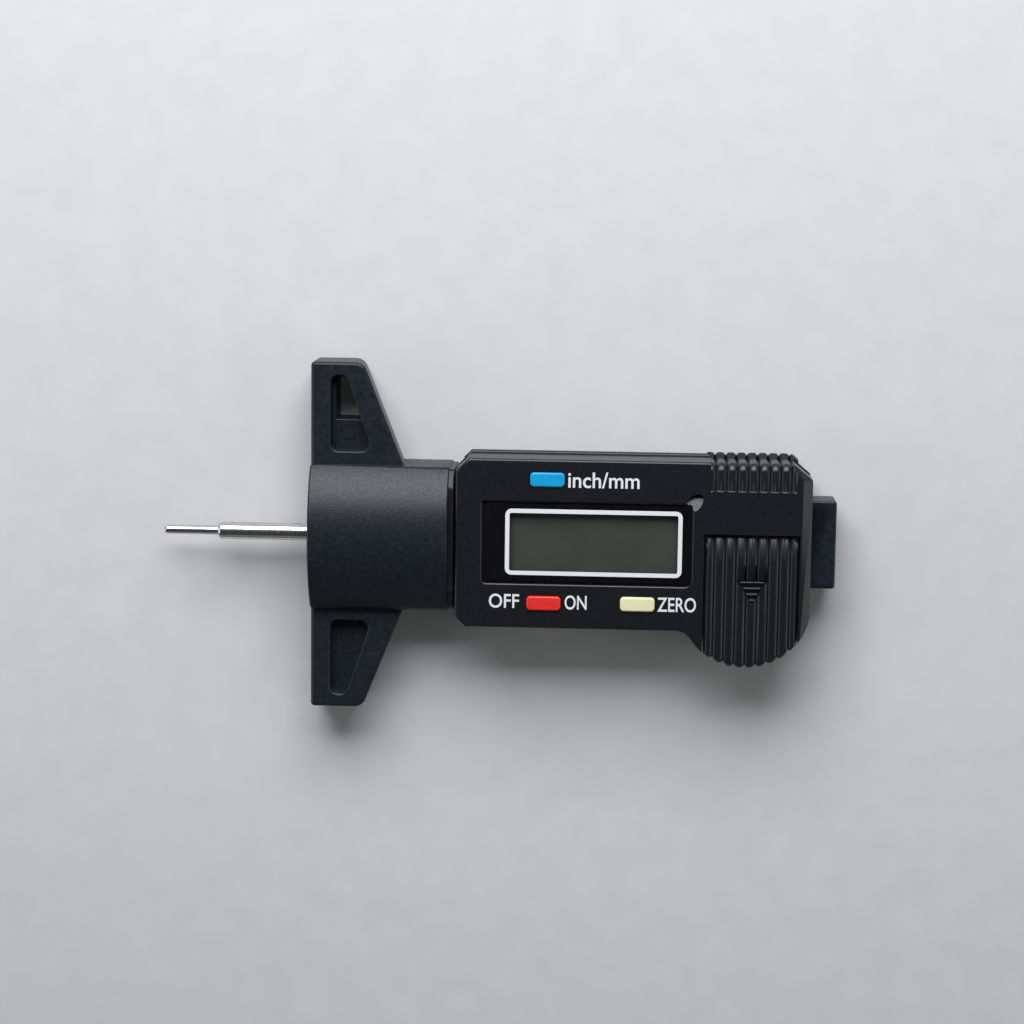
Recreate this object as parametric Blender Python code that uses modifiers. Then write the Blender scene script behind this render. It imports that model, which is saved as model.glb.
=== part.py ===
"""Digital tyre tread depth gauge.

The gauge lies on its back. X runs from the probe tip to the end of the beam, Y across the foot and
Z out of the display. The origin is at the middle of the overall length, on the centre line, at the level
of the back. Lengths below are in millimetres with X counted from the measuring face. The functions that
place the shapes move them to the origin and turn them into metres.
"""
import bmesh
import bpy
from math import acos, cos, pi, radians, sin, sqrt, tan
from mathutils import Matrix, Vector

MM = 0.001
GAP = 0.3                 # clearance between pieces that touch or slide

# Foot and barrel
FOOT_SPAN = 60.0
FOOT_BACK, FOOT_FRONT = 1.0, 10.2
TIP_WIDTH = 9.1           # width of a wing at its tip
ROOT_WIDTH = 16.1         # width of a wing where it meets the barrel
TIP_RADIUS = 2.2
FACE_RADIUS = 0.7
BARREL_HALF = 12.4
BARREL_LENGTH = 23.9
BARREL_SHOULDER = 11.3    # height of the barrel's sides
BARREL_CROWN = 15.7
NECK_END, NECK_TOP, NECK_INSET = 24.85, 13.2, 0.3
POCKET_FLOOR = 7.8
POCKET_LEFT, POCKET_INNER_Y, POCKET_TIP_Y, POCKET_RADIUS = 3.6, 14.9, 27.5, 1.2
SLANT_Y, SLANT_X, SLANT = 15.5, 10.05, -0.339   # a point on the pocket's slanted side, and its slope
HOLE_LEFT, HOLE_INNER_Y, HOLE_TIP_Y, HOLE_RADIUS = 4.15, 20.0, 27.2, 0.8
HOLE_LEDGE = 0.1          # from the hanging hole to the pocket's slanted side

# Beam
BEAM_START, BEAM_END = 9.3, 90.0
BEAM_HALF = 7.6
BEAM_BACK, BEAM_FRONT = 2.6, 9.5
CHANNEL_HALF, CHANNEL_TOP, CHANNEL_END = 2.8, 8.0, 66.0
STRIP_START, STRIP_END, STRIP_HALF = 26.4, 85.6, 5.0
STRIP_BOTTOM, STRIP_TOP = 9.05, 9.4
BEAM_SCREW_X, BEAM_SCREW_Y = 13.0, 5.2
STOP_X = 72.0             # where the stop screw stands on the beam
STOP_SLOT_HALF = 2.2

# Probe
PROBE_Z = 6.2
PROBE_OUT = 26.0
PROBE_RADIUS, TIP_PIN_RADIUS = 1.5, 0.8
TIP_PIN_LENGTH = 9.5
PROBE_END = 37.3
BUSH_RADIUS, BUSH_LENGTH = 3.0, 8.4
CARRIER_START, CARRIER_END, CARRIER_HALF, CARRIER_TOP = 30.5, 37.5, 2.4, 7.3
PIN_X, PIN_RADIUS = 34.0, 0.5
CARRIER_SCREW_X = (31.8, 36.2)
TRAVEL = 26.0             # of the slider along the beam

# Slider housing
CASE_LEFT, CASE_RIGHT, CASE_HALF = 25.15, 85.6, 14.6
CASE_FRONT = 14.4
PARTING = 8.0             # level of the joint between the two halves
WALL = 1.5
PLATE_BACK = 1.6          # thickness of the back cover's plate
PLATE_UNDER = 12.95       # underside of the front shell's plate
LOBE_X, LOBE_Y, LOBE_RADIUS = 74.65, -9.65, 11.2
LOBE_FILLET = 3.0         # between the lower edge and the round battery end
CUT_UPPER_LEFT, CUT_LOWER_LEFT = 2.2, 1.8
CUT_UPPER_RIGHT_X, CUT_UPPER_RIGHT_Y = 3.5, 2.9
BEAM_CLEAR = BEAM_HALF + GAP
CASE_SCREWS = ((28.7, 11.2), (28.7, -11.2), (80.4, 11.2), (63.6, -11.4))
BOSS_RADIUS = 2.2
RAIL_START, RAIL_END = 30.0, 66.0
CELL_RAIL_LOW, CELL_RAIL_HIGH, CELL_RAIL_TOP = -12.0, -8.5, 7.5

# Display
RECESS = (29.8, 65.4, -6.85, 7.1)
RECESS_FLOOR = 13.5
VIEW_HOLE = (33.9, 63.4, -5.2, 5.6)
WINDOW_BACK, WINDOW_FRONT = 13.75, 14.05
GLASS = (32.5, 64.8, -6.6, 7.1)
GLASS_BACK, GLASS_FRONT = 11.8, 12.7
BOARD = (31.3, 65.5, -12.6, 12.6)
BOARD_BACK, BOARD_FRONT = 9.8, 10.5
BOARD_SCREWS = ((33.3, 10.6), (62.6, 10.6), (33.3, -10.6))

# Keys
KEY_LENGTH, KEY_WIDTH, KEY_TOP = 6.2, 2.8, 14.85
KEY_FLANGE_LENGTH, KEY_FLANGE_WIDTH = 7.2, 3.6
KEY_FLANGE_BACK, KEY_FLANGE_FRONT = 12.0, 12.6
KEY_STEM_BACK, KEY_STEM_RADIUS = 11.6, 0.8
KEYS = {"unit": (40.8, 11.0), "power": (40.4, -10.2), "zero": (56.35, -10.05)}

# Battery
COVER_LEFT, COVER_RIGHT, COVER_TOP_Y = 67.75, 83.3, 1.9
COVER_BOTTOM, COVER_UNDER = 1.9, 12.0
SKIRT = 0.8
FLANGE = 0.7              # how far the cover's flange reaches under the shell on each side
FLANGE_TOP, FLANGE_LOW_Y = 12.6, -12.0
CELL_RADIUS, CELL_HEIGHT = 5.8, 5.4
CELL_Y, CELL_Z = -13.9, 3.2

# Ribs of the two grips
RIB_COUNT = 9
RIB_DEPTH = 0.5
VALLEY = 0.6
GRIP_LEFT, GRIP_PITCH, GRIP_BOTTOM_Y = 68.3, 1.82, 9.45
GRIP_OUT = 0.45           # how far the grip's ribs stand out from the upper edge
GRIP_PAD_LEFT, GRIP_PAD_RIGHT = 67.9, 83.45
COVER_RIB_LEFT, COVER_RIB_PITCH = 68.3, 1.83

# Screws: radius and height of the head, radius of the shank, overall length
BEAM_SCREW = (1.9, 0.7, 0.8, 6.8)
STOP_SCREW = (1.8, 1.0, 0.8, 6.8)
STOP_SHOULDER = (1.4, 2.0)
CASE_SCREW = (1.6, 0.8, 0.8, 10.6)
BOARD_SCREW = (1.3, 0.6, 0.6, 3.2)
CARRIER_SCREW = (1.4, 0.4, 0.7, 3.1)
SCREW_BACK = 0.3          # how far the heads lie inside the back face

ROUND = 24                # sides of a turned piece
SMALL_ROUND = 16          # sides of a screw and of other small turned pieces

# From the measuring face to the middle of the overall length
TO_ORIGIN = Vector(((PROBE_OUT - BEAM_END) / 2, 0, 0)) * MM


def clear_scene():
    """Remove what the file holds, so that the model is the only thing in it."""
    for item in list(bpy.data.objects):
        bpy.data.objects.remove(item, do_unlink=True)


def collection(name):
    made = bpy.data.collections.new(name)
    bpy.context.scene.collection.children.link(made)
    return made


def material(name, colour, roughness, metallic=0.0):
    made = bpy.data.materials.new(name)
    made.use_nodes = True
    shader = made.node_tree.nodes["Principled BSDF"]
    shader.inputs["Base Color"].default_value = (*colour, 1.0)
    shader.inputs["Roughness"].default_value = roughness
    shader.inputs["Metallic"].default_value = metallic
    return made


def place(name, mesh, group, finish=None, at=(0, 0, 0), turn=(0, 0, 0), parent=None):
    """Make an object of the mesh, at a place in millimetres given in world axes."""
    item = bpy.data.objects.new(name, mesh)
    group.objects.link(item)
    item.location = Vector(at) * MM + TO_ORIGIN
    item.rotation_euler = turn
    if finish:
        mesh.materials.append(finish)
    if parent:
        item.parent = parent
        item.location = item.location - parent.location
    return item


def pivot(name, at):
    """An empty on a joint's axis, carried by the slider."""
    made = bpy.data.objects.new(name, None)
    PARTS.objects.link(made)
    made.parent = SLIDER
    made.location = Vector(at) * MM + TO_ORIGIN - SLIDER.location
    return made


def hang(name, mesh, finish, parent):
    """Make an object of a mesh that is drawn around its parent empty."""
    item = bpy.data.objects.new(name, mesh)
    PARTS.objects.link(item)
    mesh.materials.append(finish)
    item.parent = parent
    return item


def as_tool(item):
    """Show an object as a cutter, or as a body that another object is joined with."""
    item.hide_render = True
    item.display_type = "WIRE"
    return item


def tool(name, mesh, at=(0, 0, 0), turn=(0, 0, 0)):
    return as_tool(place(name, mesh, CUTTERS, at=at, turn=turn))


def combine(target, other, operation="DIFFERENCE"):
    modifier = target.modifiers.new(other.name, "BOOLEAN")
    modifier.operation = operation
    modifier.solver = "EXACT"
    modifier.object = other


# Meshes -------------------------------------------------------------------------------------------

def block(name, x0, x1, y0, y1, z0, z1):
    """A box between two corners."""
    shape = bmesh.new()
    bmesh.ops.create_cube(shape, size=1.0)
    size = Matrix.Diagonal(((x1 - x0) * MM, (y1 - y0) * MM, (z1 - z0) * MM, 1.0))
    middle = Vector((x0 + x1, y0 + y1, z0 + z1)) * MM / 2
    bmesh.ops.transform(shape, matrix=Matrix.Translation(middle) @ size, verts=shape.verts)
    mesh = bpy.data.meshes.new(name)
    shape.to_mesh(mesh)
    shape.free()
    return mesh


# Maps an outline's own two axes and its thickness to the axes of the part.
LYING = {
    "Z": Matrix.Identity(4),
    "X": Matrix(((0, 0, 1, 0), (1, 0, 0, 0), (0, 1, 0, 0), (0, 0, 0, 1))),
    "Y": Matrix(((1, 0, 0, 0), (0, 0, -1, 0), (0, 1, 0, 0), (0, 0, 0, 1))),
}


def prism(name, outline, low, high, along="Z"):
    """A flat outline given thickness along an axis: (x, y) along Z, (y, z) along X, (x, z) along Y."""
    if along == "Y":
        low, high = -high, -low
    curve = bpy.data.curves.new(name, "CURVE")
    curve.dimensions = "2D"
    curve.fill_mode = "BOTH"
    curve.extrude = (high - low) * MM / 2
    spline = curve.splines.new("POLY")
    spline.points.add(len(outline) - 1)
    for point, (across, up) in zip(spline.points, outline):
        point.co = (across * MM, up * MM, 0.0, 1.0)
    spline.use_cyclic_u = True
    holder = bpy.data.objects.new(name, curve)
    bpy.context.scene.collection.objects.link(holder)
    bpy.context.view_layer.update()
    evaluated = holder.evaluated_get(bpy.context.evaluated_depsgraph_get())
    mesh = bpy.data.meshes.new_from_object(evaluated)
    bpy.data.objects.remove(holder)
    bpy.data.curves.remove(curve)
    mesh.transform(LYING[along] @ Matrix.Translation((0, 0, (low + high) * MM / 2)))
    shape = bmesh.new()
    shape.from_mesh(mesh)
    bmesh.ops.remove_doubles(shape, verts=shape.verts, dist=1e-6)
    bmesh.ops.recalc_face_normals(shape, faces=shape.faces)
    shape.to_mesh(mesh)
    shape.free()
    return mesh


def turned(name, profile, group, finish, at, along="Z", parent=None, sides=ROUND):
    """A turned piece: the profile is (radius, height) pairs from the top down its outer side."""
    shape = bmesh.new()
    ring = [shape.verts.new((radius * MM, 0.0, height * MM)) for radius, height in profile]
    for first, second in zip(ring, ring[1:]):
        shape.edges.new((first, second))
    if profile[0][0] > 0:
        shape.edges.new((ring[-1], ring[0]))
    mesh = bpy.data.meshes.new(name)
    shape.to_mesh(mesh)
    shape.free()
    item = place(name, mesh, group, finish, at, AXIS_TURN[along], parent)
    sweep = item.modifiers.new("Turned", "SCREW")
    sweep.axis = "Z"
    sweep.steps = sides
    sweep.render_steps = sides
    sweep.use_merge_vertices = True
    sweep.merge_threshold = 0.00001
    return item


AXIS_TURN = {
    "Z": (0, 0, 0),
    "X": (0, radians(90), 0),
    "-X": (0, radians(-90), 0),
    "Y": (radians(-90), 0, 0),
}


def drill(name, radius, length, at, along="Z", sides=ROUND):
    """A round cutter that starts at a point and runs along an axis."""
    shape = bmesh.new()
    bmesh.ops.create_cone(shape, cap_ends=True, segments=sides, radius1=radius * MM,
                          radius2=radius * MM, depth=length * MM)
    bmesh.ops.translate(shape, verts=shape.verts, vec=(0, 0, length * MM / 2))
    mesh = bpy.data.meshes.new(name)
    shape.to_mesh(mesh)
    shape.free()
    return tool(name, mesh, at, AXIS_TURN[along])


def stepped_drill(name, at, hole_radius, depth, seat_radius, seat_depth):
    """A screw hole with a wider seat for the head, drilled upwards from the back."""
    profile = [(0, depth), (hole_radius, depth), (hole_radius, seat_depth), (seat_radius, seat_depth),
               (seat_radius, -1), (0, -1)]
    return as_tool(turned(name, profile, CUTTERS, None, at))


# Outlines -----------------------------------------------------------------------------------------

def arc(centre, radius, start, end, steps):
    """Points on a circle between two angles in degrees, both ends included."""
    points = []
    for step in range(steps + 1):
        angle = radians(start + (end - start) * step / steps)
        points.append((centre[0] + radius * cos(angle), centre[1] + radius * sin(angle)))
    return points


def rounded(corners, steps=4):
    """An outline whose corners (x, y, radius) are rounded where the radius isn't zero."""
    points = []
    count = len(corners)
    for number, (x, y, radius) in enumerate(corners):
        here = Vector((x, y))
        if radius == 0:
            points.append((x, y))
            continue
        back = (Vector(corners[number - 1][:2]) - here).normalized()
        ahead = (Vector(corners[(number + 1) % count][:2]) - here).normalized()
        half = acos(max(-1.0, min(1.0, back.dot(ahead)))) / 2
        centre = here + (back + ahead).normalized() * (radius / sin(half))
        start = here + back * (radius / tan(half)) - centre
        sweep = start.angle_signed(here + ahead * (radius / tan(half)) - centre)
        for step in range(steps + 1):
            turned_by = Matrix.Rotation(-sweep * step / steps, 2)
            spot = centre + turned_by @ start
            points.append((spot.x, spot.y))
    return points


def wing_outline():
    """The foot seen from the front: two wings on either side of the barrel."""
    tip = FOOT_SPAN / 2
    upper = [(ROOT_WIDTH, BARREL_HALF, 0), (TIP_WIDTH, tip, TIP_RADIUS), (0, tip, FACE_RADIUS)]
    lower = [(x, -y, radius) for x, y, radius in reversed(upper)]
    return rounded(upper + lower)


def slanted_outline(left, inner_y, tip_y, inner_radius, tip_radius, ledge=0.0):
    """A four-sided outline in the upper wing whose right side follows the pocket's slanted side."""
    inner_x, tip_x = (SLANT_X + SLANT * (y - SLANT_Y) - ledge for y in (inner_y, tip_y))
    return rounded([(left, inner_y, inner_radius), (inner_x, inner_y, inner_radius),
                    (tip_x, tip_y, tip_radius), (left, tip_y, tip_radius)], 3)


def barrel_outline():
    """The barrel's section: straight sides and an arched top."""
    rise = BARREL_CROWN - BARREL_SHOULDER
    radius = (BARREL_HALF ** 2 + rise ** 2) / (2 * rise)
    half = 90 - acos(BARREL_HALF / radius) * 180 / pi
    top = arc((0, BARREL_CROWN - radius), radius, 90 - half, 90 + half, 14)
    return [(BARREL_HALF, 0)] + top + [(-BARREL_HALF, 0)]


def lobe_edge(x, radius=LOBE_RADIUS):
    """The y of the housing's round battery end at an x."""
    return LOBE_Y - sqrt(radius ** 2 - (x - LOBE_X) ** 2)


def case_outline(inset=0.0):
    """The housing seen from the front, optionally moved inwards by a wall's thickness."""
    left, right, top = CASE_LEFT + inset, CASE_RIGHT - inset, CASE_HALF - inset
    radius = LOBE_RADIUS - inset
    fillet = LOBE_FILLET + inset
    cut = inset * (sqrt(2) - 1)
    # The fillet between the lower edge and the round end touches both.
    fillet_y = -top - fillet
    reach = sqrt((radius + fillet) ** 2 - (fillet_y - LOBE_Y) ** 2)
    fillet_x = LOBE_X - reach
    meet = Vector((LOBE_X - fillet_x, LOBE_Y - fillet_y)).normalized()
    meet_angle = 90 - meet.angle(Vector((0, 1))) * 180 / pi
    start = meet_angle + 180
    side = acos((right - LOBE_X) / radius) * 180 / pi if right - LOBE_X < radius else 0
    lower = CUT_LOWER_LEFT - cut
    upper = CUT_UPPER_LEFT - cut
    points = [(left, top - upper), (left, -top + lower), (left + lower, -top)]
    points += arc((fillet_x, fillet_y), fillet, 90, meet_angle, 4)
    points += arc((LOBE_X, LOBE_Y), radius, start, 360 - side, 16)[1:]
    points += [(right, top - CUT_UPPER_RIGHT_Y + cut), (right - CUT_UPPER_RIGHT_X + cut, top)]
    points.append((left + upper, top))
    return points


def gripped_outline():
    """The housing seen from the front with the pad that carries the thumb grip's ribs."""
    points = case_outline()
    slope = CUT_UPPER_RIGHT_Y / CUT_UPPER_RIGHT_X
    rise = GRIP_OUT * sqrt(1 + slope ** 2)
    edge = CASE_HALF - slope * (GRIP_PAD_RIGHT - CASE_RIGHT + CUT_UPPER_RIGHT_X)
    top = CASE_HALF + GRIP_OUT
    corner = GRIP_PAD_RIGHT - (top - edge - rise) / slope
    pad = [(GRIP_PAD_RIGHT, edge), (GRIP_PAD_RIGHT, edge + rise), (corner, top), (GRIP_PAD_LEFT, top),
           (GRIP_PAD_LEFT, CASE_HALF)]
    return points[:-2] + pad + points[-1:]


def cover_outline():
    """The battery cover seen from the front: straight sides and a round lower end."""
    first = acos((COVER_LEFT - LOBE_X) / LOBE_RADIUS) * -180 / pi
    last = acos((COVER_RIGHT - LOBE_X) / LOBE_RADIUS) * -180 / pi
    round_end = arc((LOBE_X, LOBE_Y), LOBE_RADIUS, first, last, 12)
    return [(COVER_LEFT, COVER_TOP_Y)] + round_end + [(COVER_RIGHT, COVER_TOP_Y)]


# Base and beam ------------------------------------------------------------------------------------

def build_base():
    body = place("base_body", prism("base_body", wing_outline(), FOOT_BACK, FOOT_FRONT), PARTS, BLACK)
    barrel = prism("barrel", barrel_outline(), 0, BARREL_LENGTH, "X")
    combine(body, tool("barrel", barrel), "UNION")
    half = BARREL_HALF - NECK_INSET
    neck = block("neck", BARREL_LENGTH - 0.1, NECK_END, -half, half, 0.2, NECK_TOP)
    combine(body, tool("neck", neck), "UNION")
    socket = block("beam_socket", BEAM_START - GAP, NECK_END + 2, -BEAM_CLEAR, BEAM_CLEAR,
                   BEAM_BACK - GAP, BEAM_FRONT + GAP)
    combine(body, tool("beam_socket", socket))
    combine(body, drill("bush_bore", BUSH_RADIUS + GAP, BEAM_START + 1.5, (-1, 0, PROBE_Z), "X"))
    outline = slanted_outline(POCKET_LEFT, POCKET_INNER_Y, POCKET_TIP_Y, POCKET_RADIUS, POCKET_RADIUS)
    pocket = prism("pocket", outline, POCKET_FLOOR, FOOT_FRONT + 1)
    combine(body, tool("upper_pocket", pocket))
    lower = pocket.copy()
    lower.transform(Matrix.Scale(-1, 4, (0, 1, 0)))
    lower.flip_normals()
    combine(body, tool("lower_pocket", lower))
    outline = slanted_outline(HOLE_LEFT, HOLE_INNER_Y, HOLE_TIP_Y, 0, HOLE_RADIUS, HOLE_LEDGE)
    hole = prism("hanging_hole", outline, 0, POCKET_FLOOR + 1)
    combine(body, tool("hanging_hole", hole))
    for number, side in enumerate((-1, 1), 1):
        spot = (BEAM_SCREW_X, side * BEAM_SCREW_Y, 0)
        combine(body, stepped_drill(f"beam_screw_hole_{number}", spot, 1.1, BEAM_BACK + 1, 2.2, 1.3))


def build_bush():
    inner = PROBE_RADIUS + GAP
    profile = [(inner, BUSH_LENGTH), (BUSH_RADIUS, BUSH_LENGTH), (BUSH_RADIUS, 0), (inner, 0)]
    turned("guide_bush", profile, PARTS, BRASS, (0.3, 0, PROBE_Z), "X")


def screw(name, x, y, z, sizes, shoulder=None, parent=None):
    """A screw standing on its head, with an optional shoulder (radius, height) above the head."""
    head_radius, head, shank_radius, length = sizes
    profile = [(0, length), (shank_radius, length)]
    if shoulder:
        profile += [(shank_radius, shoulder[1]), (shoulder[0], shoulder[1]), (shoulder[0], head)]
    else:
        profile += [(shank_radius, head)]
    profile += [(head_radius, head), (head_radius, 0), (0, 0)]
    turned(name, profile, PARTS, STEEL, (x, y, z), parent=parent, sides=SMALL_ROUND)


def build_beam():
    outline = rounded([(BEAM_START, -BEAM_HALF, 0), (BEAM_END, -BEAM_HALF, 0.5),
                       (BEAM_END, BEAM_HALF, 0.5), (BEAM_START, BEAM_HALF, 0)], 2)
    beam = place("beam", prism("beam", outline, BEAM_BACK, BEAM_FRONT), PARTS, BLACK)
    channel = block("probe_channel", BEAM_START - 1, CHANNEL_END, -CHANNEL_HALF, CHANNEL_HALF,
                    BEAM_BACK - 1, CHANNEL_TOP)
    combine(beam, tool("probe_channel", channel))
    seat = block("strip_seat", STRIP_START - GAP, STRIP_END + GAP, -STRIP_HALF - GAP, STRIP_HALF + GAP,
                 STRIP_BOTTOM - 0.25, BEAM_FRONT + 1)
    combine(beam, tool("strip_seat", seat))
    strip = block("scale_strip", STRIP_START, STRIP_END, -STRIP_HALF, STRIP_HALF, STRIP_BOTTOM, STRIP_TOP)
    place("scale_strip", strip, PARTS, STRIP)
    for number, side in enumerate((-1, 1), 1):
        y = side * BEAM_SCREW_Y
        combine(beam, drill(f"beam_thread_{number}", 1.1, 6, (BEAM_SCREW_X, y, 1.5)))
        screw(f"beam_screw_{number}", BEAM_SCREW_X, y, SCREW_BACK, BEAM_SCREW)
    combine(beam, drill("stop_thread", 1.1, 6, (STOP_X, 0, 1.5)))
    screw("stop_screw", STOP_X, 0, SCREW_BACK, STOP_SCREW, STOP_SHOULDER)


# Slider -------------------------------------------------------------------------------------------

def build_front_shell():
    shell = place("front_shell", prism("front_shell", gripped_outline(), PARTING + GAP / 2, CASE_FRONT),
                  PARTS, BLACK, parent=SLIDER)
    cavity = prism("front_cavity", case_outline(WALL), PARTING - 1, PLATE_UNDER)
    combine(shell, tool("front_cavity", cavity))
    for number, (x, y) in enumerate(CASE_SCREWS, 1):
        boss = drill(f"case_boss_{number}", BOSS_RADIUS, PLATE_UNDER - PARTING, (x, y, PARTING + GAP / 2))
        combine(shell, boss, "UNION")
        combine(shell, drill(f"case_thread_{number}", 1.1, 4.6, (x, y, PARTING - 1)))
    for number, (x, y) in enumerate(BOARD_SCREWS, 1):
        low = BOARD_FRONT + GAP
        boss = drill(f"board_boss_{number}", 1.6, PLATE_UNDER + 0.2 - low, (x, y, low), sides=SMALL_ROUND)
        combine(shell, boss, "UNION")
        thread = drill(f"board_thread_{number}", 0.9, 2, (x, y, low - 0.2), sides=SMALL_ROUND)
        combine(shell, thread)
    recess = rounded(corners_of(RECESS, 0.8), 3)
    combine(shell, tool("window_recess", prism("window_recess", recess, RECESS_FLOOR, CASE_FRONT + 1)))
    view = block("view_hole", *VIEW_HOLE, PLATE_UNDER - 1, CASE_FRONT)
    combine(shell, tool("view_hole", view))
    for name, (x, y) in KEYS.items():
        length, width = KEY_LENGTH / 2 + GAP, KEY_WIDTH / 2 + GAP
        hole = block(f"{name}_key_hole", x - length, x + length, y - width, y + width,
                     PLATE_UNDER - 1, CASE_FRONT + 1)
        combine(shell, tool(f"{name}_key_hole", hole))
    opening = block("cover_opening", COVER_LEFT - GAP, COVER_RIGHT + GAP, -30, COVER_TOP_Y + GAP,
                    PARTING - 1, CASE_FRONT + 1)
    combine(shell, tool("cover_opening", opening))
    slot = block("flange_slot", COVER_LEFT - FLANGE - GAP, COVER_RIGHT + FLANGE + GAP, -30,
                 COVER_TOP_Y + GAP, COVER_UNDER - GAP, PLATE_UNDER)
    combine(shell, tool("flange_slot", slot))
    way = block("front_beam_way", CASE_LEFT - 1, CASE_RIGHT + 1, -BEAM_CLEAR, BEAM_CLEAR,
                PARTING - 1, BEAM_FRONT + GAP)
    combine(shell, tool("front_beam_way", way))
    combine(shell, tool("grip_valleys", grip_valleys()))


def corners_of(limits, radius):
    """The four corners of a rectangle x0, x1, y0, y1, for rounding."""
    x0, x1, y0, y1 = limits
    return [(x0, y0, radius), (x1, y0, radius), (x1, y1, radius), (x0, y1, radius)]


def joined(name, meshes):
    """Separate closed meshes put into one, to cut with at once."""
    shape = bmesh.new()
    for mesh in meshes:
        shape.from_mesh(mesh)
        bpy.data.meshes.remove(mesh)
    mesh = bpy.data.meshes.new(name)
    shape.to_mesh(mesh)
    shape.free()
    return mesh


def valley(name, x, start_y, edge_y, bottom):
    """A groove along Y in the front face that turns down over an outer edge."""
    outward = 1 if edge_y > start_y else -1
    beyond = edge_y + outward
    inside = edge_y - outward * RIB_DEPTH
    floor = CASE_FRONT - RIB_DEPTH
    top = CASE_FRONT + 1
    outline = [(start_y, floor), (inside, floor), (inside, bottom), (beyond, bottom), (beyond, top),
               (start_y, top)]
    return prism(name, outline, x - VALLEY / 2, x + VALLEY / 2, "X")


def grip_valleys():
    """The grooves between the ribs of the thumb grip in the shell's upper edge."""
    grooves = []
    for number in range(RIB_COUNT - 1):
        x = GRIP_LEFT + GRIP_PITCH * (number + 0.5)
        drop = max(0.0, (x - CASE_RIGHT + CUT_UPPER_RIGHT_X) * CUT_UPPER_RIGHT_Y / CUT_UPPER_RIGHT_X)
        edge = CASE_HALF + GRIP_OUT - drop
        grooves.append(valley(f"grip_valley_{number}", x, GRIP_BOTTOM_Y, edge, PARTING - 1))
    return joined("grip_valleys", grooves)


def build_back_cover():
    cover = place("back_cover", prism("back_cover", gripped_outline(), 0, PARTING - GAP / 2), PARTS, BLACK,
                  parent=SLIDER)
    combine(cover, tool("back_cavity", prism("back_cavity", case_outline(WALL), PLATE_BACK, PARTING + 1)))
    rails = [(RAIL_START, RAIL_END, BEAM_CLEAR + 0.6, BEAM_CLEAR + 1.6, 1, PARTING - GAP / 2),
             (RAIL_START, RAIL_END, -BEAM_CLEAR - 1, -BEAM_CLEAR, 1, PARTING - GAP / 2)]
    side = CELL_RADIUS + GAP
    for left in (LOBE_X - side - 1, LOBE_X + side):
        rails.append((left, left + 1, CELL_RAIL_LOW, CELL_RAIL_HIGH, 1, CELL_RAIL_TOP))
    for number, limits in enumerate(rails, 1):
        combine(cover, tool(f"rail_{number}", block(f"rail_{number}", *limits)), "UNION")
    for number, (x, y) in enumerate(CASE_SCREWS, 1):
        boss = drill(f"back_boss_{number}", BOSS_RADIUS, PARTING - GAP / 2 - 1, (x, y, 1))
        combine(cover, boss, "UNION")
    for number, (x, y) in enumerate(CASE_SCREWS, 1):
        combine(cover, stepped_drill(f"case_hole_{number}", (x, y, 0), 1.1, PARTING + 1, 1.9, 1.4))
    for number, x in enumerate(CARRIER_SCREW_X, 1):
        combine(cover, stepped_drill(f"carrier_hole_{number}", (x, 0, 0), 1.0, 3, 1.7, 1.0))
    skirt_way = block("skirt_way", COVER_LEFT - GAP, COVER_RIGHT + GAP, -30, -12.5, PLATE_BACK - 0.1,
                      PARTING + 1)
    combine(cover, tool("skirt_way", skirt_way))
    way = block("back_beam_way", CASE_LEFT - 1, CASE_RIGHT + 1, -BEAM_CLEAR, BEAM_CLEAR,
                BEAM_BACK - GAP, PARTING + 1)
    combine(cover, tool("back_beam_way", way))
    ends = arc((STOP_X + 0.2, 0), STOP_SLOT_HALF, -90, 90, 8)
    ends += arc((STOP_X - TRAVEL - 0.2, 0), STOP_SLOT_HALF, 90, 270, 8)
    combine(cover, tool("stop_slot", prism("stop_slot", ends, -1, PLATE_BACK + 1)))


def build_case_screws():
    for number, (x, y) in enumerate(CASE_SCREWS, 1):
        screw(f"case_screw_{number}", x, y, SCREW_BACK, CASE_SCREW, parent=SLIDER)


def build_display():
    window = rounded(corners_of([RECESS[0] + GAP, RECESS[1] - GAP, RECESS[2] + GAP, RECESS[3] - GAP], 0.5), 3)
    place("display_window", prism("display_window", window, WINDOW_BACK, WINDOW_FRONT), PARTS, GLOSS,
          parent=SLIDER)
    place("lcd_panel", block("lcd_panel", *GLASS, GLASS_BACK, GLASS_FRONT), PARTS, LCD, parent=SLIDER)
    low, high = BOARD_FRONT + 0.25, GLASS_BACK - 0.25
    for number, middle in enumerate((GLASS[2] + 1.2, GLASS[3] - 1.2), 1):
        strip = block(f"zebra_strip_{number}", GLASS[0] + 0.5, GLASS[1] - 0.5, middle - 0.7, middle + 0.7,
                      low, high)
        place(f"zebra_strip_{number}", strip, PARTS, ZEBRA, parent=SLIDER)


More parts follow.
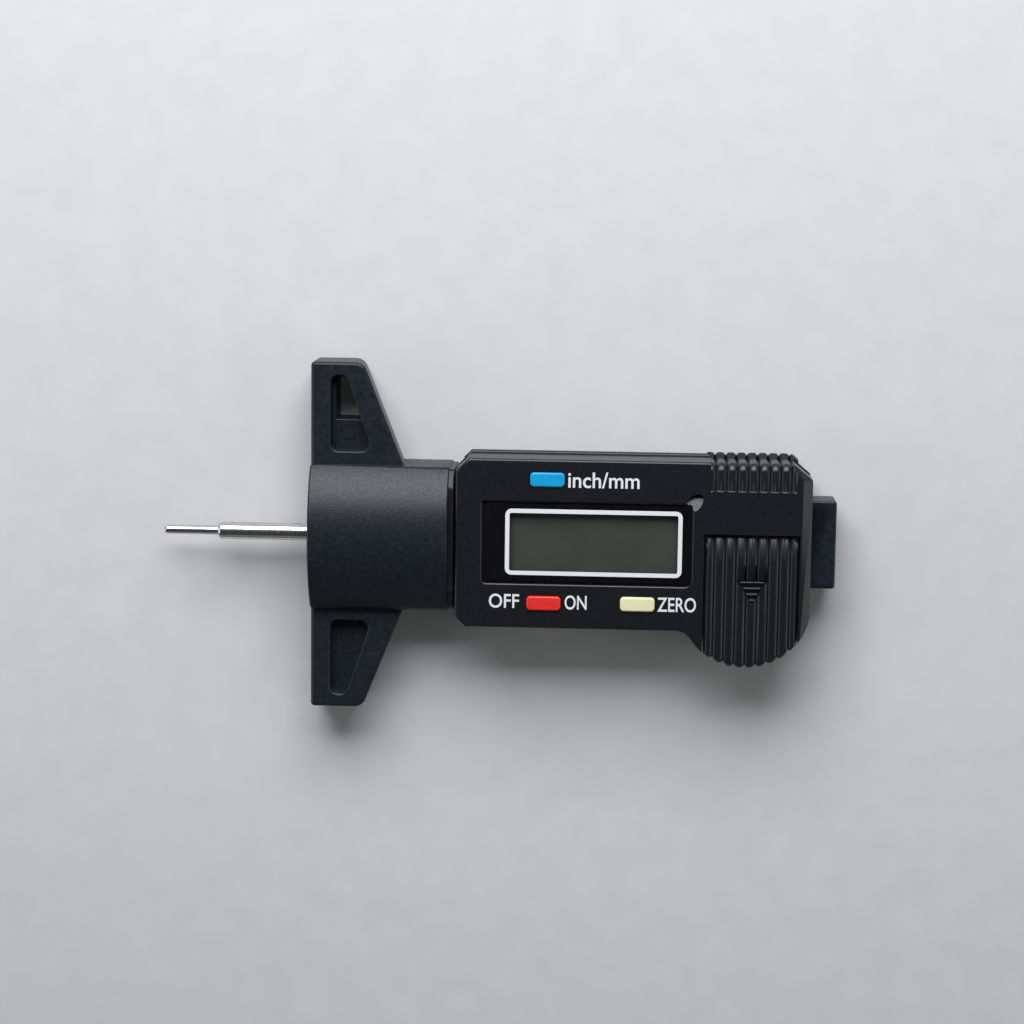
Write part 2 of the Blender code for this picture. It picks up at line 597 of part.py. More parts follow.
def build_board():
    x0, x1, y0, y1 = BOARD
    outline = [(x0, y0), (61.0, y0), (61.0, -8.9), (x1, -8.9), (x1, y1), (x0, y1)]
    board = place("circuit_board", prism("circuit_board", outline, BOARD_BACK, BOARD_FRONT), PARTS, GREEN,
                  parent=SLIDER)
    for number, (x, y) in enumerate(BOARD_SCREWS, 1):
        combine(board, drill(f"board_hole_{number}", 0.9, 2, (x, y, BOARD_BACK - 0.5), sides=SMALL_ROUND))
        screw(f"board_screw_{number}", x, y, BOARD_BACK - 0.9, BOARD_SCREW, parent=SLIDER)
    chip = [(0, 0.65), (1.6, 0.6), (2.6, 0.35), (3.0, 0), (0, 0)]
    middle = (48.5, 0.2, BOARD_FRONT + 0.25)
    turned("controller_chip", chip, PARTS, EPOXY, middle, parent=SLIDER, sides=SMALL_ROUND)
    for name, (x, y) in KEYS.items():
        dome = [(0, 0.32), (0.9, 0.28), (1.6, 0.18), (2.0, 0), (0, 0)]
        middle = (x, y, BOARD_FRONT + 0.22)
        turned(f"{name}_switch", dome, PARTS, STEEL, middle, parent=SLIDER, sides=SMALL_ROUND)


def build_keys():
    """Each key is a cap with a flange under the shell and a stem over its switch."""
    for name, (x, y) in KEYS.items():
        cap = block(f"{name}_button", -KEY_LENGTH / 2, KEY_LENGTH / 2, -KEY_WIDTH / 2, KEY_WIDTH / 2,
                    KEY_FLANGE_BACK - CASE_FRONT, KEY_TOP - CASE_FRONT)
        key = hang(f"{name}_button", cap, KEY_FINISH[name], pivot(f"{name}_axis", (x, y, CASE_FRONT)))
        length, width = KEY_FLANGE_LENGTH / 2, KEY_FLANGE_WIDTH / 2
        flange = block(f"{name}_flange", x - length, x + length, y - width, y + width,
                       KEY_FLANGE_BACK, KEY_FLANGE_FRONT)
        combine(key, tool(f"{name}_flange", flange), "UNION")
        stem = drill(f"{name}_stem", KEY_STEM_RADIUS, 0.8, (x, y, KEY_STEM_BACK), sides=12)
        combine(key, stem, "UNION")


def build_battery():
    x, y, z = LOBE_X, CELL_Y, CELL_Z
    cell = [(0, CELL_HEIGHT), (CELL_RADIUS - 0.2, CELL_HEIGHT), (CELL_RADIUS, CELL_HEIGHT - 0.2),
            (CELL_RADIUS, 1.0), (CELL_RADIUS - 0.6, 0.6), (CELL_RADIUS - 0.8, 0), (0, 0)]
    turned("coin_cell", cell, PARTS, STEEL, (x, y, z), parent=SLIDER)
    upper = [(62.5, -8.85), (66.2, -8.85), (71.6, -13.2), (73.4, -15.2), (75.2, -14.2), (73.2, -12.2),
             (67.6, -8.0), (62.5, -8.0)]
    place("contact_positive", prism("contact_positive", upper, 8.95, 9.2), PARTS, SPRING, parent=SLIDER)
    lower = [(66.3, 1.9), (70.6, 1.9), (73.6, 2.55), (76.5, 2.55), (76.5, 2.85), (73.5, 2.85), (70.5, 2.2),
             (66.6, 2.2), (66.6, 9.4), (66.3, 9.4)]
    place("contact_negative", prism("contact_negative", lower, -13.9, -12.3, "Y"), PARTS, SPRING,
          parent=SLIDER)


def build_gib():
    """A thin leaf bowed towards the beam's side."""
    left, right, thick = 36.0, 60.0, 0.25
    middle = (left + right) / 2
    radius = 900.0
    spread = (right - middle) / radius * 180 / pi
    nearest = BEAM_HALF + 0.25
    inner = arc((middle, nearest + radius), radius, 270 - spread, 270 + spread, 8)
    outer = arc((middle, nearest + radius), radius - thick, 270 + spread, 270 - spread, 8)
    place("gib_strip", prism("gib_strip", inner + outer, 3.6, 7.6), PARTS, SPRING, parent=SLIDER)


def build_probe():
    """The stepped rod, the fork that holds it and the cross pin through both."""
    total = PROBE_OUT + PROBE_END
    step = total - TIP_PIN_LENGTH
    tip = arc((0, total - 0.5), 0.5, 90, 0, 3)
    shift = TIP_PIN_RADIUS - 0.5
    profile = [(0, total)] + [(x + shift, height) for x, height in tip]
    profile += [(TIP_PIN_RADIUS, step), (PROBE_RADIUS - 0.35, step), (PROBE_RADIUS, step - 0.45),
                (PROBE_RADIUS, 0.3), (PROBE_RADIUS - 0.3, 0), (0, 0)]
    rod = turned("probe_rod", profile, PARTS, PROBE, (PROBE_END, 0, PROBE_Z), "-X", SLIDER)
    combine(rod, drill("probe_pin_hole", PIN_RADIUS + GAP, 8, (PIN_X, -4, PROBE_Z), "Y", SMALL_ROUND))
    fork = block("probe_carrier", CARRIER_START, CARRIER_END, -CARRIER_HALF, CARRIER_HALF, 1.9, CARRIER_TOP)
    carrier = place("probe_carrier", fork, PARTS, BRASS, parent=SLIDER)
    saddle = PROBE_RADIUS + GAP
    bed = arc((0, PROBE_Z), saddle, 180, 360, 12) + [(saddle, CARRIER_TOP + 1), (-saddle, CARRIER_TOP + 1)]
    combine(carrier, tool("saddle", prism("saddle", bed, CARRIER_START - 1, CARRIER_END + 1, "X")))
    combine(carrier, drill("carrier_pin_hole", PIN_RADIUS + GAP, 8, (PIN_X, -4, PROBE_Z), "Y", SMALL_ROUND))
    pin = [(0, 4.6), (PIN_RADIUS, 4.6), (PIN_RADIUS, 0), (0, 0)]
    turned("probe_pin", pin, PARTS, STEEL, (PIN_X, -2.3, PROBE_Z), "Y", SLIDER, 12)
    for number, x in enumerate(CARRIER_SCREW_X, 1):
        combine(carrier, drill(f"carrier_thread_{number}", 1.0, 2.2, (x, 0, 1.5)))
        screw(f"carrier_screw_{number}", x, 0, SCREW_BACK, CARRIER_SCREW, parent=SLIDER)


def build_battery_cover():
    """Ribbed plate with a skirt round the battery and a flange that runs under the shell."""
    centre = (LOBE_X, LOBE_Y, CASE_FRONT)
    mesh = prism("battery_cover", cover_outline(), COVER_BOTTOM, CASE_FRONT)
    mesh.transform(Matrix.Translation(-Vector(centre) * MM))
    cover = hang("battery_cover", mesh, BLACK, pivot("cover_axis", centre))
    inner = LOBE_RADIUS - SKIRT
    room = [(50, 5), (50, LOBE_Y)] + arc((LOBE_X, LOBE_Y), inner, 180, 360, 24) + [(99, LOBE_Y), (99, 5)]
    combine(cover, tool("cover_room", prism("cover_room", room, COVER_BOTTOM - 1, COVER_UNDER)))
    flange = block("cover_flange", COVER_LEFT - FLANGE, COVER_RIGHT + FLANGE, FLANGE_LOW_Y,
                   COVER_TOP_Y - 0.3, COVER_UNDER, FLANGE_TOP)
    combine(cover, tool("cover_flange", flange), "UNION")
    grooves = []
    for number in range(RIB_COUNT - 1):
        x = COVER_RIB_LEFT + COVER_RIB_PITCH * (number + 0.5)
        grooves.append(valley(f"cover_valley_{number}", x, COVER_TOP_Y + 1, lobe_edge(x), COVER_BOTTOM - 1))
    combine(cover, tool("cover_valleys", joined("cover_valleys", grooves)))


def smooth_shading():
    """Round sides are shaded smooth and the sharp edges stay sharp."""
    for item in PARTS.objects:
        if item.type == "MESH":
            item.data.shade_smooth()
            item.data.set_sharp_from_angle(angle=radians(30))


clear_scene()
PARTS = collection("tire_tread_gauge")
CUTTERS = collection("cutters")
BLACK = material("black_plastic", (0.035, 0.038, 0.043), 0.55)
GLOSS = material("window_black", (0.01, 0.01, 0.012), 0.12)
LCD = material("lcd_glass", (0.30, 0.32, 0.29), 0.25)
ZEBRA = material("zebra_rubber", (0.12, 0.12, 0.13), 0.8)
GREEN = material("board_green", (0.02, 0.16, 0.06), 0.45)
EPOXY = material("chip_epoxy", (0.015, 0.015, 0.015), 0.3)
STRIP = material("scale_strip_print", (0.03, 0.10, 0.06), 0.4)
BRASS = material("brass", (0.66, 0.47, 0.20), 0.3, 1.0)
SPRING = material("spring_bronze", (0.62, 0.42, 0.22), 0.35, 1.0)
STEEL = material("screw_steel", (0.55, 0.55, 0.56), 0.35, 1.0)
PROBE = material("probe_steel", (0.66, 0.66, 0.67), 0.22, 1.0)
KEY_FINISH = {
    "unit": material("key_blue", (0.02, 0.32, 0.72), 0.4),
    "power": material("key_red", (0.78, 0.03, 0.03), 0.4),
    "zero": material("key_cream", (0.85, 0.80, 0.45), 0.4),
}
SLIDER = bpy.data.objects.new("slider_axis", None)
PARTS.objects.link(SLIDER)
SLIDER.location = Vector((CASE_LEFT, 0, PROBE_Z)) * MM + TO_ORIGIN

build_base()
build_bush()
build_beam()
build_front_shell()
build_back_cover()
build_case_screws()
build_display()
build_board()
build_keys()
build_battery()
build_gib()
build_probe()
build_battery_cover()
smooth_shading()
bpy.context.view_layer.update()
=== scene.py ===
"""Looks of a digital tyre tread depth gauge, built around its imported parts.

Shapes are made in millimetres, in the frame's axes, and turned into metres when they are put in place.
Distances along the gauge are counted from the measuring face, where the probe comes out. A visible part is
mostly its CAD solid cut by a finer outer shape, so that its inside stays the CAD's.
"""

from math import acos, cos, degrees, pi, radians, sin, sqrt, tan

import bmesh
import bpy
from mathutils import Matrix, Vector


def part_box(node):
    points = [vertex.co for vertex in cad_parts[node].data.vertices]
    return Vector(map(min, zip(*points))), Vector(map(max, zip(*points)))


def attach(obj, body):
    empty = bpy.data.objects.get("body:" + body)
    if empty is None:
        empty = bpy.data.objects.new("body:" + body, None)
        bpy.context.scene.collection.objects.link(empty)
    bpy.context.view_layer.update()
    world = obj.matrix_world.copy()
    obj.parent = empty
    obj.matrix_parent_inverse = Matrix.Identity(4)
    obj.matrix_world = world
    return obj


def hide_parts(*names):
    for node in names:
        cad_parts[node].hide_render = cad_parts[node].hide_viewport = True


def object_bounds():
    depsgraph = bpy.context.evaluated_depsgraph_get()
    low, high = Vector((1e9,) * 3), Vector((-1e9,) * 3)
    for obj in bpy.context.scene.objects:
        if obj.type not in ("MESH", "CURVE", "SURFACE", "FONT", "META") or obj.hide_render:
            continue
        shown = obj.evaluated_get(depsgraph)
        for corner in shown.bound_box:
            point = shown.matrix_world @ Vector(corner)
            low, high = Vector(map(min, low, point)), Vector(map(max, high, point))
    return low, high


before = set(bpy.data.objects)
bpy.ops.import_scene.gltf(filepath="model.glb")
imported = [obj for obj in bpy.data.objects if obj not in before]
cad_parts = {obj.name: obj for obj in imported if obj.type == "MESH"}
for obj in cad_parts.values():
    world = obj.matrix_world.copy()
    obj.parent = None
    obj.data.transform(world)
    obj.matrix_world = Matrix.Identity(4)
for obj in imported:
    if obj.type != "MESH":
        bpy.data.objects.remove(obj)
CAD_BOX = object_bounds()

MM = 0.001
SKIN = 0.03               # how far the fine outer shapes lie inside the CAD's faceted ones
EDGE_TURN = 80            # degrees that a rounded edge turns before it runs out of the face
BELOW, ABOVE = -5, 20     # heights clear of the whole gauge, for cutters that go right through


class Limits:
    """Where a CAD node is, in millimetres."""

    def __init__(self, node):
        low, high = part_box(node)
        self.x0, self.y0, self.z0 = (value / MM for value in low)
        self.x1, self.y1, self.z1 = (value / MM for value in high)
        self.x, self.y, self.z = ((a + b) / 2 / MM for a, b in zip(low, high))


FOOT = Limits("base_body")
BEAM = Limits("beam")
SHELL = Limits("front_shell")
BACK = Limits("back_cover")
COVER = Limits("battery_cover")
WINDOW = Limits("display_window")
ROD = Limits("probe_rod")
KEYS = {name: Limits(f"{name}_button") for name in ("unit", "power", "zero")}


def along(distance):
    """The X of a point at a distance from the measuring face."""
    return FOOT.x0 + distance


# Foot and barrel
WING_BACK, WING_FRONT = 1.0, 10.2
TIP_WIDTH, ROOT_WIDTH, TIP_RADIUS, FACE_RADIUS = 9.1, 16.1, 2.2, 0.7
WING_DRAFT = 0.8          # how much narrower a wing is at its back, on its slanted side
BARREL_HALF, BARREL_LENGTH, BARREL_SHOULDER = 12.4, 23.9, 11.3
NECK_TOP, NECK_INSET = 13.2, 0.3
# Pockets in the wings, the hanging hole in the upper one and the ejector marks on their floors
POCKET_FLOOR, POCKET_LEFT, POCKET_INNER_Y, POCKET_TIP_Y, POCKET_RADIUS = 7.8, 3.6, 14.9, 27.5, 1.2
POCKET_RIM, POCKET_DRAFT = 0.34, 0.14
SLANT_Y, SLANT_X, SLANT = 15.5, 10.05, -0.339
HOLE_LEFT, HOLE_INNER_Y, HOLE_TIP_Y, HOLE_LEDGE, HOLE_RIM = 4.15, 20.0, 27.2, 0.1, 0.18
EJECTOR_X, EJECTOR_Y, EJECTOR_RADIUS = along(6.2), 17.7, 1.2
EJECTOR_GROOVE, EJECTOR_DEPTH = 0.16, 0.14
# Probe
TIP_PIN_RADIUS, TIP_PIN_NOSE, TIP_PIN_LENGTH = 0.8, 0.5, 9.5
# Housing
LOBE_X, LOBE_RADIUS, LOBE_FILLET = along(74.65), 11.2, 3.0
LOBE_Y = BACK.y0 + LOBE_RADIUS
CASE_TOP = 14.6           # the upper and lower sides' distance off the centre line
CUT_UPPER_LEFT, CUT_LOWER_LEFT = 2.2, 1.8
CUT_UPPER_RIGHT_X, CUT_UPPER_RIGHT_Y = 3.5, 2.9
SHELL_STEP, BACK_STEP, RIM_OUT = 0.15, 0.31, 0.18    # the upper side's front, middle and rim off CASE_TOP
CHAMFER_WIDTH, CHAMFER_DROP = 1.65, 1.15
CORNER_OUT = 0.75         # the chamfer is narrower at the cut corner, whose line is taken this much higher
WALL_Y = 13.3             # inside the housing's upper wall
RIM_Z = 5.0               # level of the back cover's rim
# Ribs of the thumb grip and the battery cover
RIB_COUNT, RIB_STEPS, FACE_VALLEY, SIDE_VALLEY = 9, 16, 0.5, 0.8
CREST_SINK, CREST_OVERLAP = 0.03, 0.02               # the valleys meet a little below the face
GRIP_OUT, GRIP_PAD_LEFT, GRIP_PAD_RIGHT, GRIP_PAD_INNER = 0.45, along(67.9), along(83.45), 8.0
GRIP_LEFT, GRIP_PITCH, GRIP_BOTTOM_Y = along(68.3), 1.82, 9.45
FRONT_GRIP_TOP = 14.4     # the front shell's ribs end here, the back cover's stand out further
COVER_LEFT, COVER_RIGHT = COVER.x0 + 0.7, COVER.x1 - 0.7
COVER_RIB_LEFT, COVER_RIB_PITCH = along(68.3), 1.83
COVER_EDGE = 0.95         # radius of the battery cover's front edge
COVER_FALL_Y, COVER_FALL_RADIUS = -2.4, 10.0         # where its front starts to fall away, and how round
RAIL_END_Y, RAIL_LOW, RAIL_HIGH = -12.3, 11.9, 12.7  # the battery cover's rails, which keep the CAD's shape
ARROW_X, ARROW_TOP, ARROW_TIP, ARROW_HALF, ARROW_BARS = along(75.7), -5.5, -9.9, 2.75, 4
# Display and keys
RECESS_MARGIN = 0.3       # from the window plate to the wall of its recess
FRAME_LEFT, FRAME_RIGHT, FRAME_LOW, FRAME_HIGH = along(33.72), along(63.75), -5.45, 5.92
FRAME_LINE, FRAME_RADIUS = 0.72, 1.1
NOTCH_LONG, NOTCH_WIDE, NOTCH_SLOPE = 1.9, 1.25, 0.42
KEY_HALF_X, KEY_HALF_Y, KEY_RADIUS, KEY_GAP = 2.97, 1.27, 0.72, 0.09
KEY_PLATE_X, KEY_PLATE_Y = 3.7, 2.0                  # fills the CAD's hole, so that a finer one can be cut
KEY_FLANGE_Z = 12.65      # top of a key's flange under the front
PRINT_LIFT, PRINT_WEIGHT = 0.014, 0.011              # the words' height off the front, and how bold they are


# Meshes -------------------------------------------------------------------------------------------

def as_mesh(shape):
    """A mesh from a bmesh, with its faces turned outwards."""
    bmesh.ops.recalc_face_normals(shape, faces=shape.faces)
    mesh = bpy.data.meshes.new("shape")
    shape.to_mesh(mesh)
    shape.free()
    return mesh


def arc(centre, radius, start, end, steps):
    """Points on a circle between two angles in degrees, both ends included."""
    points = []
    for step in range(steps + 1):
        angle = radians(start + (end - start) * step / steps)
        points.append((centre[0] + radius * cos(angle), centre[1] + radius * sin(angle)))
    return points


def rounded(corners, steps=8):
    """An outline whose corners (x, y, radius) are rounded where the radius isn't zero."""
    points = []
    count = len(corners)
    for number, (x, y, radius) in enumerate(corners):
        here = Vector((x, y))
        if radius == 0:
            points.append((x, y))
            continue
        back = (Vector(corners[number - 1][:2]) - here).normalized()
        ahead = (Vector(corners[(number + 1) % count][:2]) - here).normalized()
        half = acos(max(-1.0, min(1.0, back.dot(ahead)))) / 2
        centre = here + (back + ahead).normalized() * (radius / sin(half))
        start = here + back * (radius / tan(half)) - centre
        sweep = start.angle_signed(here + ahead * (radius / tan(half)) - centre)
        for step in range(steps + 1):
            spot = centre + Matrix.Rotation(-sweep * step / steps, 2) @ start
            points.append((spot.x, spot.y))
    return points


def rectangle(x0, x1, y0, y1, radius, steps=8):
    """A rectangle's outline with rounded corners."""
    return rounded([(x0, y0, radius), (x1, y0, radius), (x1, y1, radius), (x0, y1, radius)], steps)


def moved_in(outline, amount):
    """A counter-clockwise outline with every side moved inwards by an amount."""
    count = len(outline)
    points = []
    for number, point in enumerate(outline):
        here = Vector(point)
        before = (here - Vector(outline[number - 1])).normalized()
        after = (Vector(outline[(number + 1) % count]) - here).normalized()
        inward = Vector((-before.y - after.y, before.x + after.x))
        spot = here + inward * (2 * amount / max(inward.length_squared, 0.5))
        points.append((spot.x, spot.y))
    return points


TURNS = {                 # from a shape's own height axis to the axis it is wanted along
    "Z": Matrix.Identity(4),
    "X": Matrix(((0, 0, 1, 0), (1, 0, 0, 0), (0, 1, 0, 0), (0, 0, 0, 1))),
}


def through(rings):
    """A solid through rings of as many (x, y, z) points each, closed at both ends."""
    shape = bmesh.new()
    rings = [[shape.verts.new(point) for point in points] for points in rings]
    count = len(rings[0])
    for first, second in zip(rings, rings[1:]):
        for number in range(count):
            after = (number + 1) % count
            shape.faces.new((first[number], first[after], second[after], second[number]))
    shape.faces.new(rings[0][::-1])
    shape.faces.new(rings[-1])
    return as_mesh(shape)


def skinned(rings, axis="Z"):
    """A solid through flat rings along an axis, each given as (points, height)."""
    mesh = through([[(x, y, height) for x, y in points] for points, height in rings])
    mesh.transform(TURNS[axis])
    return mesh


def loft(outline, levels, axis="Z"):
    """A solid through copies of a counter-clockwise outline, each moved in by an amount at a height."""
    return skinned([(moved_in(outline, inset), height) for inset, height in levels], axis)


def quarter(width, height, steps):
    """Steps of a rounded edge, as shares of the way in and up."""
    last = radians(EDGE_TURN)
    for step in range(steps + 1):
        angle = last * step / steps
        yield width * (1 - cos(angle)) / (1 - cos(last)), height * sin(angle) / sin(last)


def top_edge(inset, top, width, height, steps=5):
    """Levels of a rounded upper edge, up to just above the top face."""
    levels = [(inset + across, top - height + up) for across, up in quarter(width, height, steps)]
    return levels + [(inset + width + 0.06, top + 0.01)]


def bottom_edge(inset, bottom, width, height, steps=5):
    """Levels of a rounded lower edge, from just below the bottom face."""
    levels = [(inset + across, bottom + height - up) for across, up in quarter(width, height, steps)]
    return [(inset + width + 0.06, bottom - 0.01)] + levels[::-1]


def pit(outline, floor, top, rim, draft=0.0, steps=5):
    """A cutter from a floor up through a face, widening by a draft and then by a rounded rim."""
    levels = [(0, floor)]
    levels += [(-draft - across, top - rim + up) for across, up in quarter(rim, rim, steps)]
    wide = -draft - rim - 0.06
    return loft(outline, levels + [(wide, top + 0.01), (wide, top + 1)])


def turned(profile, sides=64, axis="Z", at=(0, 0, 0)):
    """A turned solid: (radius, height) pairs, closed on the axis or from the last pair to the first."""
    shape = bmesh.new()
    rings = []
    for radius, height in profile:
        if radius == 0:
            rings.append([shape.verts.new((0, 0, height))] * sides)
        else:
            ring = arc((0, 0), radius, 0, 360, sides)[:-1]
            rings.append([shape.verts.new((x, y, height)) for x, y in ring])
    pairs = list(zip(rings, rings[1:]))
    if profile[0][0] > 0:
        pairs.append((rings[-1], rings[0]))
    for first, second in pairs:
        for number in range(sides):
            after = (number + 1) % sides
            corners = dict.fromkeys((first[number], first[after], second[after], second[number]))
            if len(corners) > 2:
                shape.faces.new(list(corners))
    mesh = as_mesh(shape)
    mesh.transform(Matrix.Translation(Vector(at)) @ TURNS[axis])
    return mesh


def box(x0, x1, y0, y1, z0, z1):
    """A plain block between limits."""
    return loft([(x0, y0), (x1, y0), (x1, y1), (x0, y1)], [(0, z0), (0, z1)])


def joined(meshes):
    """Separate solids in one mesh, to combine with another at once."""
    shape = bmesh.new()
    for mesh in meshes:
        shape.from_mesh(mesh)
        bpy.data.meshes.remove(mesh)
    mesh = bpy.data.meshes.new("joined")
    shape.to_mesh(mesh)
    shape.free()
    return mesh


def combined(mesh, tools, operation):
    """The mesh after a Boolean with each tool in turn."""
    objects = [bpy.data.objects.new("solid", each) for each in (mesh, *tools)]
    for item in objects:
        bpy.context.scene.collection.objects.link(item)
    for tool in objects[1:]:
        modifier = objects[0].modifiers.new("Combine", "BOOLEAN")
        modifier.operation = operation
        modifier.solver = "EXACT"
        modifier.object = tool
    bpy.context.view_layer.update()
    evaluated = objects[0].evaluated_get(bpy.context.evaluated_depsgraph_get())
    result = bpy.data.meshes.new_from_object(evaluated)
    for item in objects:
        bpy.data.objects.remove(item)
    return result


def cleaned(mesh):
    """The mesh with the seams dissolved that Booleans leave in flat faces."""
    shape = bmesh.new()
    shape.from_mesh(mesh)
    bmesh.ops.remove_doubles(shape, verts=shape.verts, dist=0.0005)
    bmesh.ops.dissolve_limit(shape, angle_limit=radians(0.4), verts=shape.verts, edges=shape.edges)
    shape.to_mesh(mesh)
    shape.free()
    return mesh


def cad_copy(node):
    """A CAD node's mesh in millimetres, as one closed surface."""
    shape = bmesh.new()
    shape.from_mesh(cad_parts[node].data)
    bmesh.ops.remove_doubles(shape, verts=shape.verts, dist=1e-7)
    bmesh.ops.scale(shape, vec=(1 / MM,) * 3, verts=shape.verts)
    mesh = as_mesh(shape)
    mesh.materials.clear()
    return mesh


def add_piece(name, mesh, body, material, replaces=(), sharp=32):
    """Put a mesh made in millimetres into the scene as a piece that rides on a body."""
    mesh.transform(Matrix.Scale(MM, 4))
    mesh.materials.clear()
    mesh.materials.append(material)
    mesh.shade_smooth()
    mesh.set_sharp_from_angle(angle=radians(sharp))
    item = bpy.data.objects.new(name, mesh)
    bpy.context.scene.collection.objects.link(item)
    weighted = item.modifiers.new("Flat faces", "WEIGHTED_NORMAL")
    weighted.keep_sharp = True
    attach(item, body)
    if replaces:
        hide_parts(*replaces)
    return item


# Materials ----------------------------------------------------------------------------------------

class Nodes:
    """A material's node tree, with short calls for the nodes used here."""

    def __init__(self, name, roughness=0.5, metallic=0.0):
        self.material = bpy.data.materials.new(name)
        self.material.use_nodes = True
        self.tree = self.material.node_tree
        self.shader = self.tree.nodes["Principled BSDF"]
        self.shader.inputs["Roughness"].default_value = roughness
        self.shader.inputs["Metallic"].default_value = metallic
        self.place = self.tree.nodes.new("ShaderNodeTexCoord").outputs["Object"]

    def link(self, output, target):
        self.tree.links.new(output, target)

    def noise(self, size, detail=2.0, roughness=0.5, place=None):
        """Noise whose features are about a size in millimetres."""
        node = self.tree.nodes.new("ShaderNodeTexNoise")
        node.inputs["Scale"].default_value = 1 / (size * MM)
        node.inputs["Detail"].default_value = detail
        node.inputs["Roughness"].default_value = roughness
        self.link(place or self.place, node.inputs["Vector"])
        return node.outputs["Fac"]

    def stretched(self, x, y, z):
        """The place scaled unevenly, for marks that run along one direction."""
        node = self.tree.nodes.new("ShaderNodeMapping")
        node.inputs["Scale"].default_value = (x, y, z)
        self.link(self.place, node.inputs["Vector"])
        return node.outputs["Vector"]

    def ramp(self, factor, *stops):
        """Colours or greys at positions along a factor."""
        node = self.tree.nodes.new("ShaderNodeValToRGB")
        elements = node.color_ramp.elements
        while len(elements) < len(stops):
            elements.new(0.5)
        for element, (position, colour) in zip(elements, stops):
            element.position = position
            grey = isinstance(colour, (int, float))
            element.color = (colour, colour, colour, 1) if grey else (*colour, 1)
        self.link(factor, node.inputs["Fac"])
        return node.outputs["Color"]

    def bump(self, height, depth):
        """Relief of a depth in millimetres on the surface."""
        node = self.tree.nodes.new("ShaderNodeBump")
        node.inputs["Strength"].default_value = 1.0
        node.inputs["Distance"].default_value = depth * MM
        self.link(height, node.inputs["Height"])
        return node.outputs["Normal"]

    def set(self, **sockets):
        """Feed the shader: a number or colour goes on the socket, an output is linked to it."""
        for name, value in sockets.items():
            target = self.shader.inputs[name.replace("_", " ")]
            if isinstance(value, bpy.types.NodeSocket):
                self.link(value, target)
            elif isinstance(value, tuple):
                target.default_value = (*value, 1)
            else:
                target.default_value = value
        return self.material


def textured_plastic(name, dark, light, low, high, grain, depth, gloss=0.5):
    """Moulded plastic with a spark-eroded texture: a fine relief, and roughness between low and high."""
    nodes = Nodes(name)
    tone = nodes.noise(grain * 2.2, 3.0, 0.6)
    sheen = nodes.noise(grain * 1.3, 2.0)
    relief = nodes.noise(grain, 2.0, 0.55)
    return nodes.set(
        Base_Color=nodes.ramp(tone, (0.30, dark), (0.72, light)),
        Roughness=nodes.ramp(sheen, (0.30, low), (0.70, high)),
        Specular_IOR_Level=gloss,
        Normal=nodes.bump(relief, depth))


def satin_plastic(name, dark, light, roughness):
    """Coloured plastic of a key, a little cloudy and with a faint grain."""
    nodes = Nodes(name, roughness)
    cloud = nodes.noise(1.6, 3.0)
    grain = nodes.noise(0.12, 2.0)
    return nodes.set(
        Base_Color=nodes.ramp(cloud, (0.3, dark), (0.7, light)),
        Normal=nodes.bump(grain, 0.006))


def metal(name, dark, light, low, high, stretch=(1, 1, 1), size=0.3, depth=0.002):
    """Metal with fine marks, which run along one direction where the place is stretched."""
    nodes = Nodes(name, metallic=1.0)
    place = nodes.stretched(*stretch)
    marks = nodes.noise(size, 4.0, 0.6, place)
    cloud = nodes.noise(2.5, 2.0)
    return nodes.set(
        Base_Color=nodes.ramp(cloud, (0.3, dark), (0.7, light)),
        Roughness=nodes.ramp(marks, (0.3, low), (0.7, high)),
        Normal=nodes.bump(marks, depth))


def window_plastic():
    """Glossy black plastic of the window plate, a little smeared."""
    nodes = Nodes("window_black")
    smear = nodes.noise(4.0, 3.0)
    return nodes.set(
        Base_Color=nodes.ramp(smear, (0.3, (0.0020, 0.0018, 0.0028)), (0.7, (0.0032, 0.0028, 0.0040))),
        Roughness=nodes.ramp(smear, (0.3, 0.20), (0.7, 0.28)),
        Normal=nodes.bump(nodes.noise(0.5, 1.0), 0.001))


def lcd_glass():
    """Blank reflective display under a clear front glass."""
    nodes = Nodes("lcd_glass")
    cloud = nodes.noise(9.0, 2.0)
    speck = nodes.noise(0.25, 2.0)
    return nodes.set(
        Base_Color=nodes.ramp(cloud, (0.35, (0.046, 0.051, 0.043)), (0.65, (0.058, 0.060, 0.051))),
        Roughness=nodes.ramp(speck, (0.3, 0.30), (0.7, 0.38)),
        Coat_Weight=0.35, Coat_Roughness=0.08)


def print_ink(name, colour):
    """Printed ink with slightly thinner patches."""
    nodes = Nodes(name)
    thin = tuple(0.94 * part for part in colour)
    return nodes.set(
        Base_Color=nodes.ramp(nodes.noise(0.2, 2.0), (0.3, thin), (0.7, colour)),
        Roughness=nodes.ramp(nodes.noise(0.3), (0.3, 0.42), (0.7, 0.5)),
        Normal=nodes.bump(nodes.noise(0.08), 0.002))


BASE_PLASTIC = textured_plastic("base_plastic", (0.0062, 0.0092, 0.0134), (0.0154, 0.0208, 0.0282),
                                low=0.32, high=0.44, grain=0.32, depth=0.025, gloss=0.32)
HOUSING_PLASTIC = textured_plastic("housing_plastic", (0.0040, 0.0050, 0.0075), (0.0085, 0.0105, 0.0140),
                                   low=0.30, high=0.40, grain=0.24, depth=0.010)
WINDOW_BLACK = window_plastic()
LCD_GLASS = lcd_glass()
WHITE_INK = print_ink("white_ink", (0.80, 0.82, 0.84))
KEY_PLASTIC = {
    "unit": satin_plastic("key_blue", (0.002, 0.30, 0.60), (0.003, 0.36, 0.68), 0.42),
    "power": satin_plastic("key_red", (0.72, 0.024, 0.018), (0.82, 0.034, 0.026), 0.42),
    "zero": satin_plastic("key_cream", (0.78, 0.74, 0.44), (0.86, 0.82, 0.52), 0.38),
}
